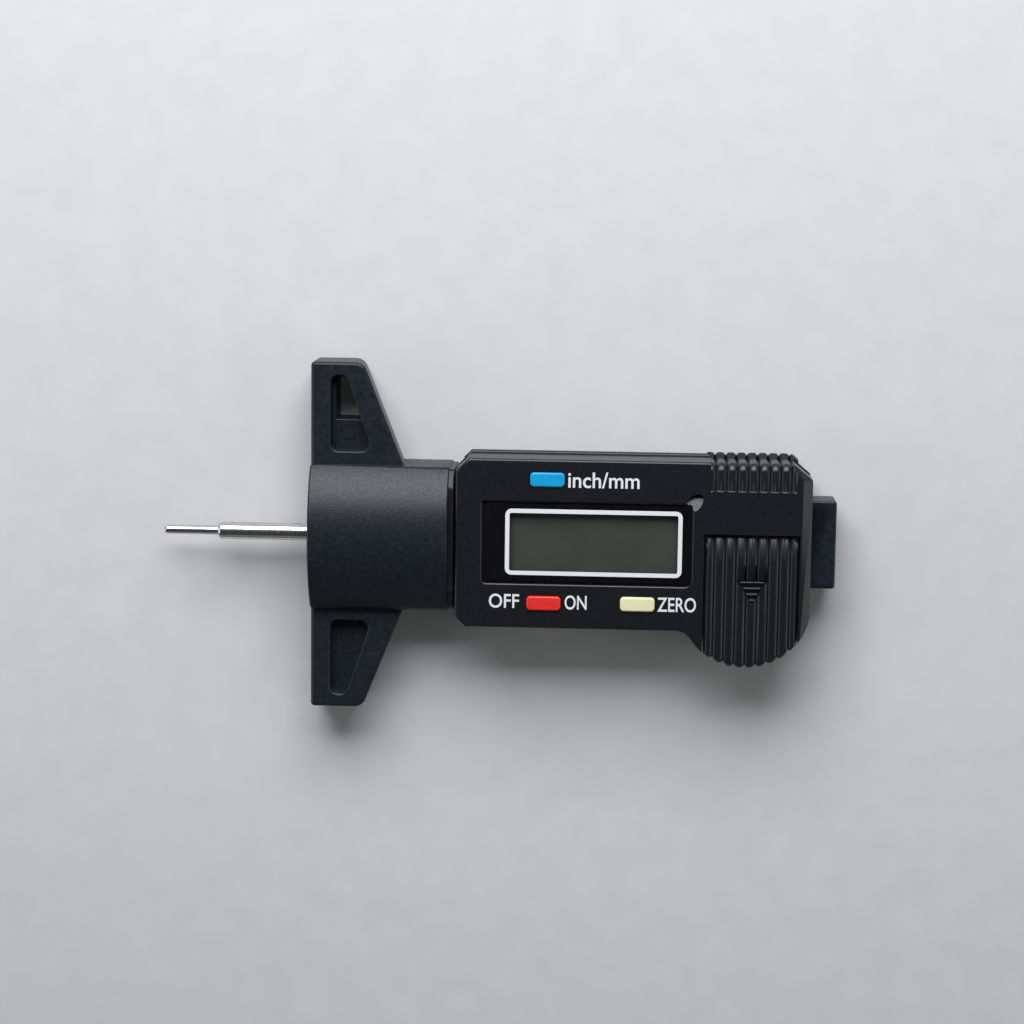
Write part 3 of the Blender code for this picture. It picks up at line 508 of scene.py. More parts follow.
ROD_STEEL = metal("rod_steel", (0.62, 0.61, 0.59), (0.72, 0.71, 0.69), low=0.16, high=0.30,
                  stretch=(1, 0.06, 0.06), size=0.22, depth=0.0025)
SCREW_STEEL = metal("screw_steel", (0.42, 0.42, 0.43), (0.55, 0.55, 0.56), low=0.25, high=0.40)
BRASS = metal("brass", (0.58, 0.40, 0.15), (0.70, 0.50, 0.21), low=0.22, high=0.38, stretch=(1, 0.1, 0.1))
SPRING_BRONZE = metal("spring_bronze", (0.55, 0.36, 0.18), (0.66, 0.45, 0.25), low=0.25, high=0.40,
                      stretch=(1, 1, 0.1))
ZEBRA_RUBBER = satin_plastic("zebra_rubber", (0.05, 0.05, 0.055), (0.12, 0.12, 0.12), 0.75)
CHIP_EPOXY = satin_plastic("chip_epoxy", (0.008, 0.008, 0.009), (0.014, 0.014, 0.015), 0.28)
BOARD_GREEN = satin_plastic("board_green", (0.008, 0.085, 0.030), (0.014, 0.125, 0.045), 0.35)


# Outlines -----------------------------------------------------------------------------------------

def wing_outline(narrower=0.0):
    """The foot seen from the front, counter-clockwise."""
    tip = FOOT.y1
    lower = [(0, -tip, FACE_RADIUS), (TIP_WIDTH - narrower, -tip, TIP_RADIUS),
             (ROOT_WIDTH - narrower, -BARREL_HALF, 0)]
    upper = [(x, -y, radius) for x, y, radius in reversed(lower)]
    return rounded([(along(x), y, radius) for x, y, radius in lower + upper])


def slanted_outline(left, inner_y, tip_y, inner_radius, tip_radius, ledge=0.0):
    """A four-sided outline in the upper wing whose right side follows the pocket's slanted side."""
    inner_x, tip_x = (SLANT_X + SLANT * (y - SLANT_Y) - ledge for y in (inner_y, tip_y))
    corners = [(left, inner_y, inner_radius), (inner_x, inner_y, inner_radius), (tip_x, tip_y, tip_radius),
               (left, tip_y, tip_radius)]
    return rounded([(along(x), y, radius) for x, y, radius in corners])


def neck_outline():
    """The neck's section: the barrel's moved in, with its top cut flat."""
    inner = moved_in(barrel_outline(), NECK_INSET + SKIN)
    return [(y, min(z, NECK_TOP - SKIN)) for y, z in inner]


def flipped(outline):
    """The outline's mirror image across the centre line."""
    return [(x, -y) for x, y in reversed(outline)]


def barrel_outline():
    """The barrel's section in Y and Z: arched top, straight sides, slightly rounded lower corners."""
    crown = FOOT.z1
    rise = crown - BARREL_SHOULDER
    radius = (BARREL_HALF ** 2 + rise ** 2) / (2 * rise)
    half = 90 - degrees(acos(BARREL_HALF / radius))
    top = arc((0, crown - radius), radius, 90 - half, 90 + half, 48)
    foot = rounded([(-BARREL_HALF, 5, 0), (-BARREL_HALF, -0.02, 0.6), (BARREL_HALF, -0.02, 0.6),
                    (BARREL_HALF, 5, 0)])
    return foot + top


def lobe_edge(x):
    """The y of the round battery end at an x."""
    return LOBE_Y - sqrt(LOBE_RADIUS ** 2 - (x - LOBE_X) ** 2)


def case_outline(step=0.0):
    """The housing seen from the front, counter-clockwise from its lower left corner.

    Its upper side is moved in by a step; the thumb grip's pad isn't part of it.
    """
    left, right, low, top = SHELL.x0 + SKIN, SHELL.x1 - SKIN, -CASE_TOP, CASE_TOP - step
    cut = step * (sqrt(2) - 1)
    fillet_y = low - LOBE_FILLET
    fillet_x = LOBE_X - sqrt((LOBE_RADIUS + LOBE_FILLET) ** 2 - (fillet_y - LOBE_Y) ** 2)
    meet = 90 - degrees(Vector((LOBE_X - fillet_x, LOBE_Y - fillet_y)).angle(Vector((0, 1))))
    side = degrees(acos((right - LOBE_X) / LOBE_RADIUS))
    points = [(left, low + CUT_LOWER_LEFT), (left + CUT_LOWER_LEFT, low)]
    points += arc((fillet_x, fillet_y), LOBE_FILLET, 90, meet, 10)
    points += arc((LOBE_X, LOBE_Y), LOBE_RADIUS, meet + 180, 360 - side, 64)[1:]
    points += [(right, top - CUT_UPPER_RIGHT_Y), (right - CUT_UPPER_RIGHT_X, top)]
    return points + [(left + CUT_UPPER_LEFT + cut, top), (left, top - CUT_UPPER_LEFT - cut)]


def cover_outline():
    """The battery cover seen from the front: straight sides and a round lower end."""
    first, last = (-degrees(acos((x - LOBE_X) / LOBE_RADIUS)) for x in (COVER_LEFT, COVER_RIGHT))
    lower_end = arc((LOBE_X, LOBE_Y), LOBE_RADIUS, first, last, 48)
    return lower_end + [(COVER_RIGHT, COVER.y1), (COVER_LEFT, COVER.y1)]


# Ribs ---------------------------------------------------------------------------------------------

def rib_section(pitch, depth):
    """What is cut away between two half-round crests, as (across, out) pairs; it runs a bit past them."""
    half = pitch / 2
    wide = half + CREST_OVERLAP
    bottom = []
    for step in range(RIB_STEPS + 1):
        across = wide * (2 * step / RIB_STEPS - 1)
        share = 0.98 * (1 - abs(across) / half)
        bottom.append((across, -CREST_SINK - depth * (1 - sqrt(1 - share ** 2))))
    return bottom + [(wide, 0.6), (-wide, 0.6)]


def valley(x, path, lean, pitch):
    """A cutter between two ribs, along a path of (y, z, tilt in degrees, depth).

    Where its path turns down a side, it leans with the side's slope.
    """
    rings = []
    for y, z, tilt, depth in path:
        away_y, away_z = sin(radians(tilt)), cos(radians(tilt))
        rings.append([(x + across, y + out * away_y + lean * across * abs(away_y), z + out * away_z)
                      for across, out in rib_section(pitch, depth)])
    return through(rings)


def cover_edge_path(edge_y, steps=6):
    """The path round the battery cover's front edge, down into its lower side."""
    path = []
    for step in range(steps + 1):
        share = step / steps
        tilt = radians(90 * share)
        path.append((edge_y + COVER_EDGE * (1 - sin(tilt)), SHELL.z1 - COVER_EDGE * (1 - cos(tilt)),
                     -90 * share, FACE_VALLEY + (SIDE_VALLEY - FACE_VALLEY) * share))
    return path


def in_turn(cutters):
    """Every other cutter at once, so that none in a mesh overlaps its neighbour."""
    return [joined(cutters[0::2]), joined(cutters[1::2])]


def grip_drop(x):
    """How far the grip's edge has dropped at an x because of the cut corner."""
    return max(0.0, (x - SHELL.x1 + CUT_UPPER_RIGHT_X) * CUT_UPPER_RIGHT_Y / CUT_UPPER_RIGHT_X)


def grip_spots():
    """The x of each valley of the thumb grip, the drop of the edge there and its lean."""
    for number in range(RIB_COUNT - 1):
        x = GRIP_LEFT + GRIP_PITCH * (number + 0.5)
        yield x, grip_drop(x), -CUT_UPPER_RIGHT_Y / CUT_UPPER_RIGHT_X if grip_drop(x) > 0 else 0.0


def grip_pad(top):
    """The thumb grip's outline, out to a top that follows the cut corner."""
    return [(GRIP_PAD_LEFT, GRIP_PAD_INNER), (GRIP_PAD_RIGHT, GRIP_PAD_INNER),
            (GRIP_PAD_RIGHT, top - grip_drop(GRIP_PAD_RIGHT)), (SHELL.x1 - CUT_UPPER_RIGHT_X, top),
            (GRIP_PAD_LEFT, top)]


def grip_solid(section, top):
    """A (y, z) section along the thumb grip, cut to its outline."""
    solid = loft(section, [(0, GRIP_PAD_LEFT - 1), (0, GRIP_PAD_RIGHT + 1)], "X")
    return combined(solid, [loft(grip_pad(top), [(0, BELOW), (0, ABOVE)])], "INTERSECT")


def front_grip():
    """The front shell's share of the grip before its valleys are cut; it fills up the CAD's ribs."""
    low, face, top = SHELL.z0, SHELL.z1, FRONT_GRIP_TOP
    inner = GRIP_BOTTOM_Y - 0.6
    section = [(WALL_Y, low), (top, low), (top, face - 0.9), (top - 0.22, face - 0.55),
               (top - 1.05, face - 0.1), (top - 1.35, face), (inner, face), (inner, face - 1.2),
               (WALL_Y, face - 1.2)]
    return combined(grip_solid(section, top), [right_chamfer()], "INTERSECT")


def rear_grip():
    """The back cover's share of the grip, which stands out further."""
    top = CASE_TOP + GRIP_OUT - SKIN
    section = [(WALL_Y, 0.9), (top - 0.45, 0.9), (top, RIM_Z - 0.9), (top - 0.06, RIM_Z - 0.5),
               (top - 0.78, RIM_Z - 0.08), (top - 0.95, RIM_Z + 0.1), (WALL_Y, RIM_Z + 0.1)]
    return grip_solid(section, top)


def front_grip_valleys():
    """The grip's valleys over the front and down the front shell's share of the side."""
    cutters = []
    for x, drop, lean in grip_spots():
        edge, face = FRONT_GRIP_TOP - drop, SHELL.z1
        path = [(GRIP_BOTTOM_Y, face, 0, 0.02), (GRIP_BOTTOM_Y + 0.25, face, 0, FACE_VALLEY),
                (edge - 1.55, face - 0.02, 1, FACE_VALLEY), (edge - 1.35, face - 0.035, 6, FACE_VALLEY),
                (edge - 1.15, face - 0.075, 16, FACE_VALLEY), (edge - 0.9, face - 0.17, 32, FACE_VALLEY),
                (edge - 0.25, face - 0.55, 45, SIDE_VALLEY), (edge, face - 1.1, 84, SIDE_VALLEY),
                (edge, SHELL.z0 - 0.5, 90, SIDE_VALLEY)]
        cutters.append(valley(x, path, lean, GRIP_PITCH))
    return in_turn(cutters)


def rear_grip_valleys():
    """The grip's valleys down the back cover's share of the side."""
    cutters = []
    for x, drop, lean in grip_spots():
        inner, outer = FRONT_GRIP_TOP - drop, CASE_TOP + GRIP_OUT - drop
        path = [(inner - 0.4, BACK.z1 + 0.5, 90, SIDE_VALLEY), (inner - 0.35, RIM_Z + 0.5, 80, SIDE_VALLEY),
                (outer - 0.75, RIM_Z - 0.08, 40, SIDE_VALLEY), (outer - 0.05, RIM_Z - 0.5, 55, SIDE_VALLEY),
                (outer, RIM_Z - 1.35, 90, SIDE_VALLEY),
                (outer - 0.45, BACK.z0 + 0.9, 97, SIDE_VALLEY * 0.9),
                (outer - 0.6, BACK.z0 - 0.3, 97, SIDE_VALLEY * 0.9)]
        cutters.append(valley(x, path, lean, GRIP_PITCH))
    return in_turn(cutters)


def cover_height(y):
    """The height of the battery cover's front, which falls away towards its upper end."""
    return COVER.z1 - max(0.0, y - COVER_FALL_Y) ** 2 / (2 * COVER_FALL_RADIUS)


def fall(start_y, steps):
    """The y of points from a start down to where the battery cover's front is level."""
    return [start_y + (COVER_FALL_Y - start_y) * step / steps for step in range(steps + 1)]


def cover_valleys():
    """The battery cover's valleys, from its upper end over the front and down the round lower side."""
    cutters = []
    for number in range(RIB_COUNT - 1):
        x = COVER_RIB_LEFT + COVER_RIB_PITCH * (number + 0.5)
        lean = (x - LOBE_X) / sqrt(LOBE_RADIUS ** 2 - (x - LOBE_X) ** 2)
        path = [(y, cover_height(y), degrees((y - COVER_FALL_Y) / COVER_FALL_RADIUS), FACE_VALLEY)
                for y in fall(COVER.y1 + 0.8, 8)]
        path += cover_edge_path(lobe_edge(x))
        path.append((lobe_edge(x), COVER.z0 - 0.5, -90, SIDE_VALLEY))
        cutters.append(valley(x, path, lean, COVER_RIB_PITCH))
    return in_turn(cutters)


# Base ---------------------------------------------------------------------------------------------

def seat_cutter(x, y, radius, depth):
    """Turns a faceted screw seat round and breaks its edge."""
    wide, bore, floor = radius + 0.22, radius + 0.04, depth - 0.03
    profile = [(0, -0.5), (wide, -0.5), (wide, -0.01), (bore, 0.18), (bore, floor), (0, floor)]
    return turned(profile, 48, at=(x, y, 0))


def wings_solid():
    """Both wings in one, drafted towards the back, with rounded edges."""
    rings = []
    for inset, height in bottom_edge(SKIN, WING_BACK, 0.4, 0.4) + top_edge(SKIN, WING_FRONT, 0.56, 0.62):
        narrower = WING_DRAFT * (WING_FRONT - height) / (WING_FRONT - WING_BACK)
        rings.append((moved_in(wing_outline(narrower), inset), height))
    return skinned(rings)


def ejector_ring(side):
    """The shallow round groove that a mould's ejector leaves on a pocket's floor."""
    outer, low, high = EJECTOR_RADIUS + EJECTOR_GROOVE, POCKET_FLOOR - EJECTOR_DEPTH, POCKET_FLOOR + 0.5
    ring = [(EJECTOR_RADIUS, low), (outer, low), (outer, high), (EJECTOR_RADIUS, high)]
    return turned(ring, 40, at=(EJECTOR_X, side * EJECTOR_Y, 0))


def build_base():
    """The foot: wings with pockets and a hanging hole, the arched barrel and the neck."""
    levels = bottom_edge(SKIN, along(0), 0.35, 0.35) + top_edge(SKIN, along(BARREL_LENGTH), 0.25, 0.25)
    barrel = loft(barrel_outline(), levels, "X")
    neck = loft(neck_outline(), [(0, along(BARREL_LENGTH - 1))] + top_edge(0, FOOT.x1, 0.2, 0.2), "X")
    skin = combined(wings_solid(), [barrel, neck], "UNION")
    body = combined(cad_copy("base_body"), [skin], "INTERSECT")
    floor = POCKET_FLOOR - 0.02
    pocket = slanted_outline(POCKET_LEFT, POCKET_INNER_Y, POCKET_TIP_Y, POCKET_RADIUS, POCKET_RADIUS)
    pocket = moved_in(pocket, -SKIN)
    cutters = [pit(outline, floor, WING_FRONT, POCKET_RIM, POCKET_DRAFT)
               for outline in (pocket, flipped(pocket))]
    body = combined(body, cutters, "DIFFERENCE")
    hole = slanted_outline(HOLE_LEFT, HOLE_INNER_Y, HOLE_TIP_Y, 0.1, 0.8, HOLE_LEDGE)
    body = combined(body, [pit(moved_in(hole, -SKIN), 0.5, floor, HOLE_RIM)], "DIFFERENCE")
    screw = Limits("beam_screw_1")
    marks = []
    for side in (-1, 1):
        marks += [ejector_ring(side), seat_cutter(screw.x, side * abs(screw.y), 2.2, 1.3)]
    body = combined(body, [joined(marks)], "DIFFERENCE")
    add_piece("foot", cleaned(body), "base", BASE_PLASTIC, ["base_body"])


def build_beam():
    """The bar with rounded long edges."""
    outline = rectangle(BEAM.x0 - 1, BEAM.x1, BEAM.y0, BEAM.y1, 0.6)
    levels = bottom_edge(SKIN, BEAM.z0, 0.35, 0.35) + top_edge(SKIN, BEAM.z1, 0.35, 0.35)
    body = combined(cad_copy("beam"), [loft(outline, levels)], "INTERSECT")
    add_piece("beam_bar", body, "base", BASE_PLASTIC, ["beam"])


def build_bush():
    """The brass bush that guides the probe in the measuring face."""
    bush = Limits("guide_bush")
    outer, inner = bush.z1 - bush.z, 1.8
    length = bush.x1 - bush.x0
    profile = [(inner, length), (outer - 0.2, length), (outer, length - 0.2), (outer, 0.15),
               (outer - 0.15, 0), (inner + 0.25, 0), (inner, 0.25)]
    mesh = turned(profile, 64, "X", (bush.x0, 0, bush.z))
    add_piece("bush", mesh, "base", BRASS, ["guide_bush"], sharp=25)


def build_probe():
    """The stepped rod: rounded tip pin, chamfered step and a plain end inside the housing."""
    radius, length = (ROD.z1 - ROD.z0) / 2, ROD.x1 - ROD.x0
    tip, nose_radius, step = TIP_PIN_RADIUS, TIP_PIN_NOSE, TIP_PIN_LENGTH
    nose = [(tip - nose_radius + x, nose_radius - y) for x, y in arc((0, 0), nose_radius, 90, 0, 8)]
    profile = [(0, 0)] + nose + [(tip, step - 0.06), (tip + 0.06, step), (radius - 0.34, step)]
    profile += [(radius - 0.03, step + 0.36), (radius, step + 0.45), (radius, length - 0.3),
                (radius - 0.3, length), (0, length)]
    rod = turned(profile, 64, "X", (ROD.x0, 0, ROD.z))
    hole = turned([(0, -4), (0.8, -4), (0.8, 4), (0, 4)], 32)
    hole.transform(Matrix.Translation((Limits("probe_pin").x, 0, ROD.z)) @ Matrix.Rotation(pi / 2, 4, "X"))
    rod = combined(rod, [hole], "DIFFERENCE")
    add_piece("probe", rod, "slider", ROD_STEEL, ["probe_rod"], sharp=25)


# Slider -------------------------------------------------------------------------------------------

def right_chamfer():
    """What is left of the front after a broad chamfer along the right side and the cut corner."""
    right, corner, top = SHELL.x1 - SKIN, CASE_TOP - CUT_UPPER_RIGHT_Y + CORNER_OUT, SHELL.z1
    end = (right - 3 * CUT_UPPER_RIGHT_X, corner + 3 * CUT_UPPER_RIGHT_Y)
    outline = rounded([(right - 120, -40, 0), (right, -40, 0), (right, corner, 3.2), (*end, 0),
                       (right - 120, end[1], 0)])
    slope = CHAMFER_DROP / CHAMFER_WIDTH
    return loft(outline, [(0, BELOW), (0, top - CHAMFER_DROP), (CHAMFER_WIDTH + 1, top + slope)])


def recess_outline():
    """The window's recess, with its lower right corner cut off."""
    margin = RECESS_MARGIN + SKIN
    x0, x1, y0, y1 = WINDOW.x0 - margin, WINDOW.x1 + margin, WINDOW.y0 - margin, WINDOW.y1 + margin
    return rounded([(x0, y0, 0.8), (x1 - 0.9, y0, 0.5), (x1, y0 + 0.9, 0.5), (x1, y1, 0.5), (x0, y1, 0.4)])


def notch():
    """A leaf-shaped notch at the window's upper right corner; its floor falls towards the upper side."""
    leaf = [(x * NOTCH_LONG, y * NOTCH_WIDE) for x, y in arc((0, 0), 1, 0, 360, 40)[:-1]]
    mesh = loft(leaf, [(0.3, -0.62), (0.1, -0.56), (0, -0.42), (0, 2)])
    spot = Vector((WINDOW.x1 + 0.62, WINDOW.y1 + 0.55, SHELL.z1))
    mesh.transform(Matrix.Translation(spot) @ Matrix.Rotation(radians(45), 4, "Z"))
    for vertex in mesh.vertices:
        vertex.co.z -= NOTCH_SLOPE * (vertex.co.y - spot.y)
    return mesh


def around_key(key, half_x, half_y, radius):
    """A rounded rectangle centred on a key."""
    return rectangle(key.x - half_x, key.x + half_x, key.y - half_y, key.y + half_y, radius)


def build_front_shell():
    """The display housing's front half, with the recess, the key holes, the notch and the grip's ribs."""
    levels = [(0.25, SHELL.z0 - 0.01), (0, SHELL.z0 + 0.25)] + top_edge(0, SHELL.z1, 0.42, 0.50)
    skin = loft(case_outline(SHELL_STEP), levels)
    skin = combined(skin, [right_chamfer()], "INTERSECT")
    shell = combined(cad_copy("front_shell"), [skin], "INTERSECT")
    shell = combined(shell, [front_grip()], "UNION")
    plates = [box(key.x - KEY_PLATE_X, key.x + KEY_PLATE_X, key.y - KEY_PLATE_Y, key.y + KEY_PLATE_Y,
                  SHELL.z1 - 0.9, SHELL.z1 - 0.002) for key in KEYS.values()]
    shell = combined(shell, plates, "UNION")
    cutters = [pit(recess_outline(), WINDOW.z0 - 0.27, SHELL.z1, 0.34)]
    for key in KEYS.values():
        hole = around_key(key, KEY_HALF_X + KEY_GAP, KEY_HALF_Y + KEY_GAP, 0.8)
        cutters.append(pit(hole, SHELL.z1 - 1.2, SHELL.z1, 0.06))
    shell = combined(shell, cutters, "DIFFERENCE")
    shell = combined(shell, [notch()], "DIFFERENCE")
    shell = combined(shell, front_grip_valleys(), "DIFFERENCE")
    shell = cleaned(shell)
    add_piece("housing_front", shell, "slider", HOUSING_PLASTIC, ["front_shell"])


def back_rim():
    """The rim along the upper side, up to the thumb grip."""
    levels = [(0.6, BACK.z0 + 1), (0.02, RIM_Z - 1), (0.02, RIM_Z - 0.2), (0.05, RIM_Z),
              (0.55, RIM_Z + 0.28)]
    upper_side = box(SHELL.x0 - 1, GRIP_PAD_LEFT + 0.3, WALL_Y + 0.1, 20, -1, 20)
    return combined(loft(case_outline(-RIM_OUT), levels), [upper_side], "INTERSECT")


def build_back_cover():
    """The rear half: a wall that stands back above the rim, and a rounded rear part with screw seats."""
    levels = bottom_edge(0.45, BACK.z0, 0.7, 0.7) + [(0.02, RIM_Z - 0.2), (0.02, RIM_Z + 0.1)]
    skin = loft(case_outline(), levels)
    levels = [(0.02, RIM_Z - 0.4), (0.02, BACK.z1 - 0.1), (0.12, BACK.z1 + 0.02)]
    skin = combined(skin, [loft(case_outline(BACK_STEP), levels)], "UNION")
    cover = combined(cad_copy("back_cover"), [skin], "INTERSECT")
    cover = combined(cover, [back_rim(), rear_grip()], "UNION")
    case_screws = [Limits(f"case_screw_{number}") for number in range(1, 5)]
    seats = [seat_cutter(screw.x, screw.y, 1.9, 1.4) for screw in case_screws]
    seats += [seat_cutter(Limits(f"carrier_screw_{number}").x, 0, 1.7, 1.0) for number in (1, 2)]
    cover = combined(cover, [joined(seats)], "DIFFERENCE")
    cover = combined(cover, rear_grip_valleys(), "DIFFERENCE")
    add_piece("housing_back", cleaned(cover), "slider", HOUSING_PLASTIC, ["back_cover"])


def build_window():
    """The window plate with its opening, and the white frame printed round it."""
    outline = rectangle(WINDOW.x0, WINDOW.x1, WINDOW.y0, WINDOW.y1, 0.5)
    plate = loft(outline, [(0, WINDOW.z0), (0, WINDOW.z1 - 0.06), (0.06, WINDOW.z1)])
    opening = rectangle(FRAME_LEFT + FRAME_LINE, FRAME_RIGHT - FRAME_LINE,
                        FRAME_LOW + FRAME_LINE, FRAME_HIGH - FRAME_LINE, 0.35)
    plate = combined(plate, [loft(opening, [(-0.03, WINDOW.z0 - 1), (-0.03, WINDOW.z1 + 1)])], "DIFFERENCE")
    add_piece("window", plate, "slider", WINDOW_BLACK, ["display_window"])
    ring = loft(rectangle(FRAME_LEFT, FRAME_RIGHT, FRAME_LOW, FRAME_HIGH, FRAME_RADIUS),
                [(0, WINDOW.z1 + 0.002), (0, WINDOW.z1 + 0.02), (0.02, WINDOW.z1 + 0.035)])
    ring = combined(ring, [loft(opening, [(0, WINDOW.z1 - 1), (0, WINDOW.z1 + 1)])], "DIFFERENCE")
    add_piece("window_frame", ring, "slider", WHITE_INK)


def build_keys():
    """The three keys' caps, each on its own body."""
    for name, key in KEYS.items():
        levels = [(-1.5, key.z0 - 0.5), (-1.5, KEY_FLANGE_Z - 0.01), (SKIN, KEY_FLANGE_Z + 0.01)]
        levels += top_edge(SKIN, key.z1, 0.32, 0.32)
        skin = loft(around_key(key, KEY_HALF_X, KEY_HALF_Y, KEY_RADIUS), levels)
        cap = combined(cad_copy(f"{name}_button"), [skin], "INTERSECT")
        add_piece(f"{name}_key_cap", cap, f"{name}_key", KEY_PLASTIC[name], [f"{name}_button"])


def lettering(name, words, x0, x1, y0, y1):
    """Printed words that fill a rectangle on the housing's front."""
    curve = bpy.data.curves.new(name, "FONT")
    curve.body = words
    curve.size = 1.0
    curve.extrude = 0.0001
    curve.offset = PRINT_WEIGHT
    curve.resolution_u = 6
    holder = bpy.data.objects.new(name, curve)
    bpy.context.scene.collection.objects.link(holder)
    bpy.context.view_layer.update()
    mesh = bpy.data.meshes.new_from_object(holder.evaluated_get(bpy.context.evaluated_depsgraph_get()))
    bpy.data.objects.remove(holder)
    bpy.data.curves.remove(curve)
    xs = [vertex.co.x for vertex in mesh.vertices]
    ys = [vertex.co.y for vertex in mesh.vertices]
    wide, tall = (x1 - x0) / (max(xs) - min(xs)), (y1 - y0) / (max(ys) - min(ys))
    mesh.transform(Matrix.Translation((x0 - min(xs) * wide, y0 - min(ys) * tall, SHELL.z1 + PRINT_LIFT))
                   @ Matrix.Diagonal((wide, tall, 100.0, 1)))
    add_piece(name, mesh, "slider", WHITE_INK)


def build_labels():
    """The words that say what each key does."""
    lettering("label_units", "inch/mm", along(44.3), along(56.35), 9.7, 12.42)
    lettering("label_off", "OFF", along(31.1), along(36.25), -11.15, -8.7)
    lettering("label_on", "ON", along(44.0), along(47.75), -11.2, -8.75)
    lettering("label_zero", "ZERO", along(59.75), along(66.3), -11.25, -8.75)


def arrow_field():
    """A flat triangle sunk between the ribs, for the arrow's bars to stand in."""
    outline = [(ARROW_X - ARROW_HALF, ARROW_TOP), (ARROW_X, ARROW_TIP), (ARROW_X + ARROW_HALF, ARROW_TOP)]
    return pit(moved_in(outline, 0.1), COVER.z1 - 0.5, COVER.z1, 0.1)


def arrow_bars():
    """Raised bars that grow shorter towards the arrow's tip."""
    levels = [(0, COVER.z1 - 0.9), (0, COVER.z1 - 0.2), (0.07, COVER.z1 - 0.08), (0.18, COVER.z1 - 0.03)]
    pitch = (ARROW_TOP - ARROW_TIP) / (ARROW_BARS + 0.35)
    bars = []
    for number in range(ARROW_BARS):
        y = ARROW_TOP - pitch * (number + 0.5)
        half = (ARROW_HALF - 0.35) * (y - ARROW_TIP) / (ARROW_TOP - ARROW_TIP)
        bars.append(loft(rectangle(ARROW_X - half, ARROW_X + half, y - 0.27, y + 0.27, 0.24, 4), levels))
    return bars


def cover_skin():
    """The battery cover's outer shape, whose front falls away towards its upper end."""
    skin = loft(cover_outline(), [(SKIN, COVER.z0 - 0.5)] + top_edge(SKIN, COVER.z1, 0.5, 0.62))
    low_end = COVER.y0 - 5
    side = [(low_end, COVER.z0 - 1), (COVER.y1 + 1, COVER.z0 - 1)]
    side += [(y, cover_height(y) + 0.005) for y in fall(COVER.y1 + 1, 12)]
    side.append((low_end, COVER.z1 + 0.005))
    return combined(skin, [loft(side, [(0, COVER.x0 - 1), (0, COVER.x1 + 1)], "X")], "INTERSECT")


def build_battery_cover():
    """The ribbed cover: the CAD's ribs are filled up first, then cut again in a finer shape."""
    skin = cover_skin()
    ribs = box(COVER.x0, COVER.x1, COVER.y0, COVER.y1, COVER.z1 - 1.2, COVER.z1 + 1)
    ribs = combined(ribs, [skin], "INTERSECT")
    rails = box(COVER.x0 - 0.5, COVER.x1 + 0.5, RAIL_END_Y, COVER.y1 - 0.2, RAIL_LOW, RAIL_HIGH)
    skin = combined(skin, [rails], "UNION")
    cover = combined(cad_copy("battery_cover"), [skin], "INTERSECT")
    sides = loft(cover_outline(), [(-0.1, COVER.z1 - 1.6), (-0.1, COVER.z1 - 0.75)])
    sides = combined(sides, [loft(case_outline(), [(0.1, BELOW), (0.1, ABOVE)])], "INTERSECT")
    cover = combined(cover, [sides, ribs], "UNION")
    cover = combined(cover, cover_valleys(), "DIFFERENCE")
    cover = combined(cover, [arrow_field()], "DIFFERENCE")
    cover = combined(cover, [joined(arrow_bars())], "UNION")
    add_piece("battery_lid", cleaned(cover), "cover", HOUSING_PLASTIC, ["battery_cover"])


# Screws, cell and inside parts --------------------------------------------------------------------

def cross_screw(node, body, head_radius, head_height):
    """A screw with a rounded head and a cross recess, in place of a plain CAD one; its head faces down."""
    limits = Limits(node)
    shank = 0.7 if head_radius < 1.5 else 0.8
    length = limits.z1 - limits.z0
    profile = [(0, length), (shank - 0.25, length), (shank, length - 0.35), (shank, head_height),
               (head_radius, head_height), (head_radius, 0.22), (head_radius - 0.07, 0.08),
               (head_radius - 0.25, 0), (0, 0)]
    mesh = turned(profile, 48, at=(limits.x, limits.y, limits.z0))
    reach, half, deep = head_radius * 0.62, head_radius * 0.13, head_height * 0.65
    bar = box(-reach, reach, -half, half, -1, deep)
    cross = combined(bar, [box(-half, half, -reach, reach, -1, deep)], "UNION")
    spot = Matrix.Translation((limits.x, limits.y, limits.z0))
    cross.transform(spot @ Matrix.Rotation(radians(22), 4, "Z"))
    mesh = combined(mesh, [cross], "DIFFERENCE")
    add_piece(f"{node}_cross", mesh, body, SCREW_STEEL, [node], sharp=25)


def build_screws():
    """The screws whose heads show at the back."""
    for number in (1, 2):
        cross_screw(f"beam_screw_{number}", "base", head_radius=1.9, head_height=0.7)
        cross_screw(f"carrier_screw_{number}", "slider", head_radius=1.4, head_height=0.4)
    cross_screw("stop_screw", "base", head_radius=1.8, head_height=1.0)
    for number in range(1, 5):
        cross_screw(f"case_screw_{number}", "slider", head_radius=1.6, head_height=0.8)


def build_cell():
    """The button cell, with its narrower lower cap."""
    cell = Limits("coin_cell")
    radius, height = (cell.x1 - cell.x0) / 2, cell.z1 - cell.z0
    shoulder = 0.35
    profile = [(0, height)] + arc((radius - shoulder, height - shoulder), shoulder, 90, 0, 5)
    profile += [(radius, 1.0), (radius - 0.25, 0.72), (radius - 0.7, 0.62), (radius - 0.75, 0.12),
                (radius - 0.87, 0), (0, 0)]
    mesh = turned(profile, 72, at=(cell.x, cell.y, cell.z0))
    add_piece("button_cell", mesh, "slider", SCREW_STEEL, ["coin_cell"], sharp=25)


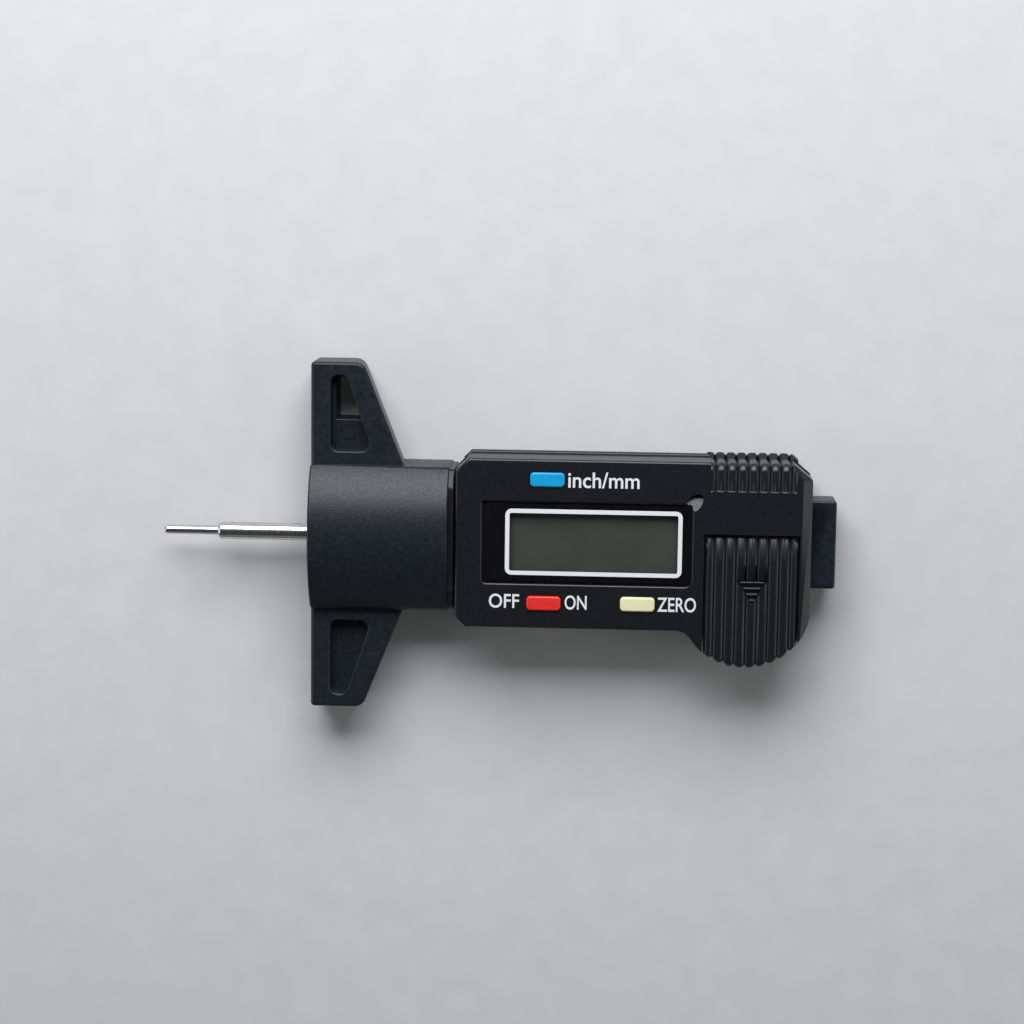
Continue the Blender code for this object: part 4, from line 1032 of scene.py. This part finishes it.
KEPT = {
    "lcd_panel": LCD_GLASS, "zebra_strip_1": ZEBRA_RUBBER, "zebra_strip_2": ZEBRA_RUBBER,
    "circuit_board": BOARD_GREEN, "scale_strip": BOARD_GREEN, "controller_chip": CHIP_EPOXY,
    "unit_switch": SCREW_STEEL, "power_switch": SCREW_STEEL, "zero_switch": SCREW_STEEL,
    "board_screw_1": SCREW_STEEL, "board_screw_2": SCREW_STEEL, "board_screw_3": SCREW_STEEL,
    "contact_positive": SPRING_BRONZE, "contact_negative": SPRING_BRONZE, "gib_strip": SPRING_BRONZE,
    "probe_carrier": BRASS, "probe_pin": SCREW_STEEL,
}


def finish_kept_nodes():
    """CAD nodes that keep their shape and take a finished material."""
    for name, material in KEPT.items():
        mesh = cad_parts[name].data
        mesh.materials.clear()
        mesh.materials.append(material)


# Studio -------------------------------------------------------------------------------------------

def area_light(name, spot, target, width, height, power, colour=(1, 1, 1)):
    """A rectangular lamp that faces a target; sizes in metres, power in watts."""
    data = bpy.data.lights.new(name, "AREA")
    data.shape = "RECTANGLE"
    data.size, data.size_y = width, height
    data.energy = power
    data.color = colour
    light = bpy.data.objects.new(name, data)
    light.location = spot
    light.rotation_euler = (Vector(target) - Vector(spot)).to_track_quat("-Z", "Y").to_euler()
    bpy.context.scene.collection.objects.link(light)


def build_studio():
    """A pale floor, soft lamps and the photograph's camera."""
    floor_nodes = Nodes("floor", 0.9)
    floor_nodes.set(Base_Color=floor_nodes.ramp(floor_nodes.noise(6.0, 3.0), (0.3, 0.62), (0.7, 0.65)))
    shape = bmesh.new()
    bmesh.ops.create_grid(shape, x_segments=1, y_segments=1, size=2.0)
    floor = bpy.data.objects.new("floor", as_mesh(shape))
    floor.data.materials.append(floor_nodes.material)
    floor.location.z = CAD_BOX[0].z - 0.1 * MM
    bpy.context.scene.collection.objects.link(floor)

    world = bpy.data.worlds.new("studio")
    world.use_nodes = True
    world.node_tree.nodes["Background"].inputs["Color"].default_value = (0.90, 0.95, 1.0, 1)
    world.node_tree.nodes["Background"].inputs["Strength"].default_value = 0.05
    bpy.context.scene.world = world
    area_light("key", (-0.02, 0.385, 0.325), (0.0, 0.0, 0.005), 0.50, 0.34, 4.0, (0.94, 0.97, 1.0))
    area_light("rim", (0.0, -0.45, 0.20), (0.0, 0.0, 0.005), 0.50, 0.16, 0.05)
    area_light("fill_left", (-0.50, -0.05, 0.22), (0, 0, 0), 0.3, 0.4, 0.5)
    area_light("fill_right", (0.50, -0.05, 0.22), (0, 0, 0), 0.3, 0.4, 0.5)

    camera = bpy.data.objects.new("camera", bpy.data.cameras.new("camera"))
    camera.data.lens = 90.8
    camera.data.sensor_width = 36
    camera.data.clip_start, camera.data.clip_end = 0.01, 10
    camera.location = (0.0249, 0.0685, 0.4467)
    camera.rotation_euler = (radians(-8.26), radians(3.02), radians(0.70))
    bpy.context.scene.collection.objects.link(camera)
    bpy.context.scene.camera = camera
    bpy.context.scene.view_settings.view_transform = "Standard"


build_base()
build_beam()
build_bush()
build_probe()
build_front_shell()
build_back_cover()
build_window()
build_keys()
build_labels()
build_battery_cover()
build_screws()
build_cell()
finish_kept_nodes()
build_studio()
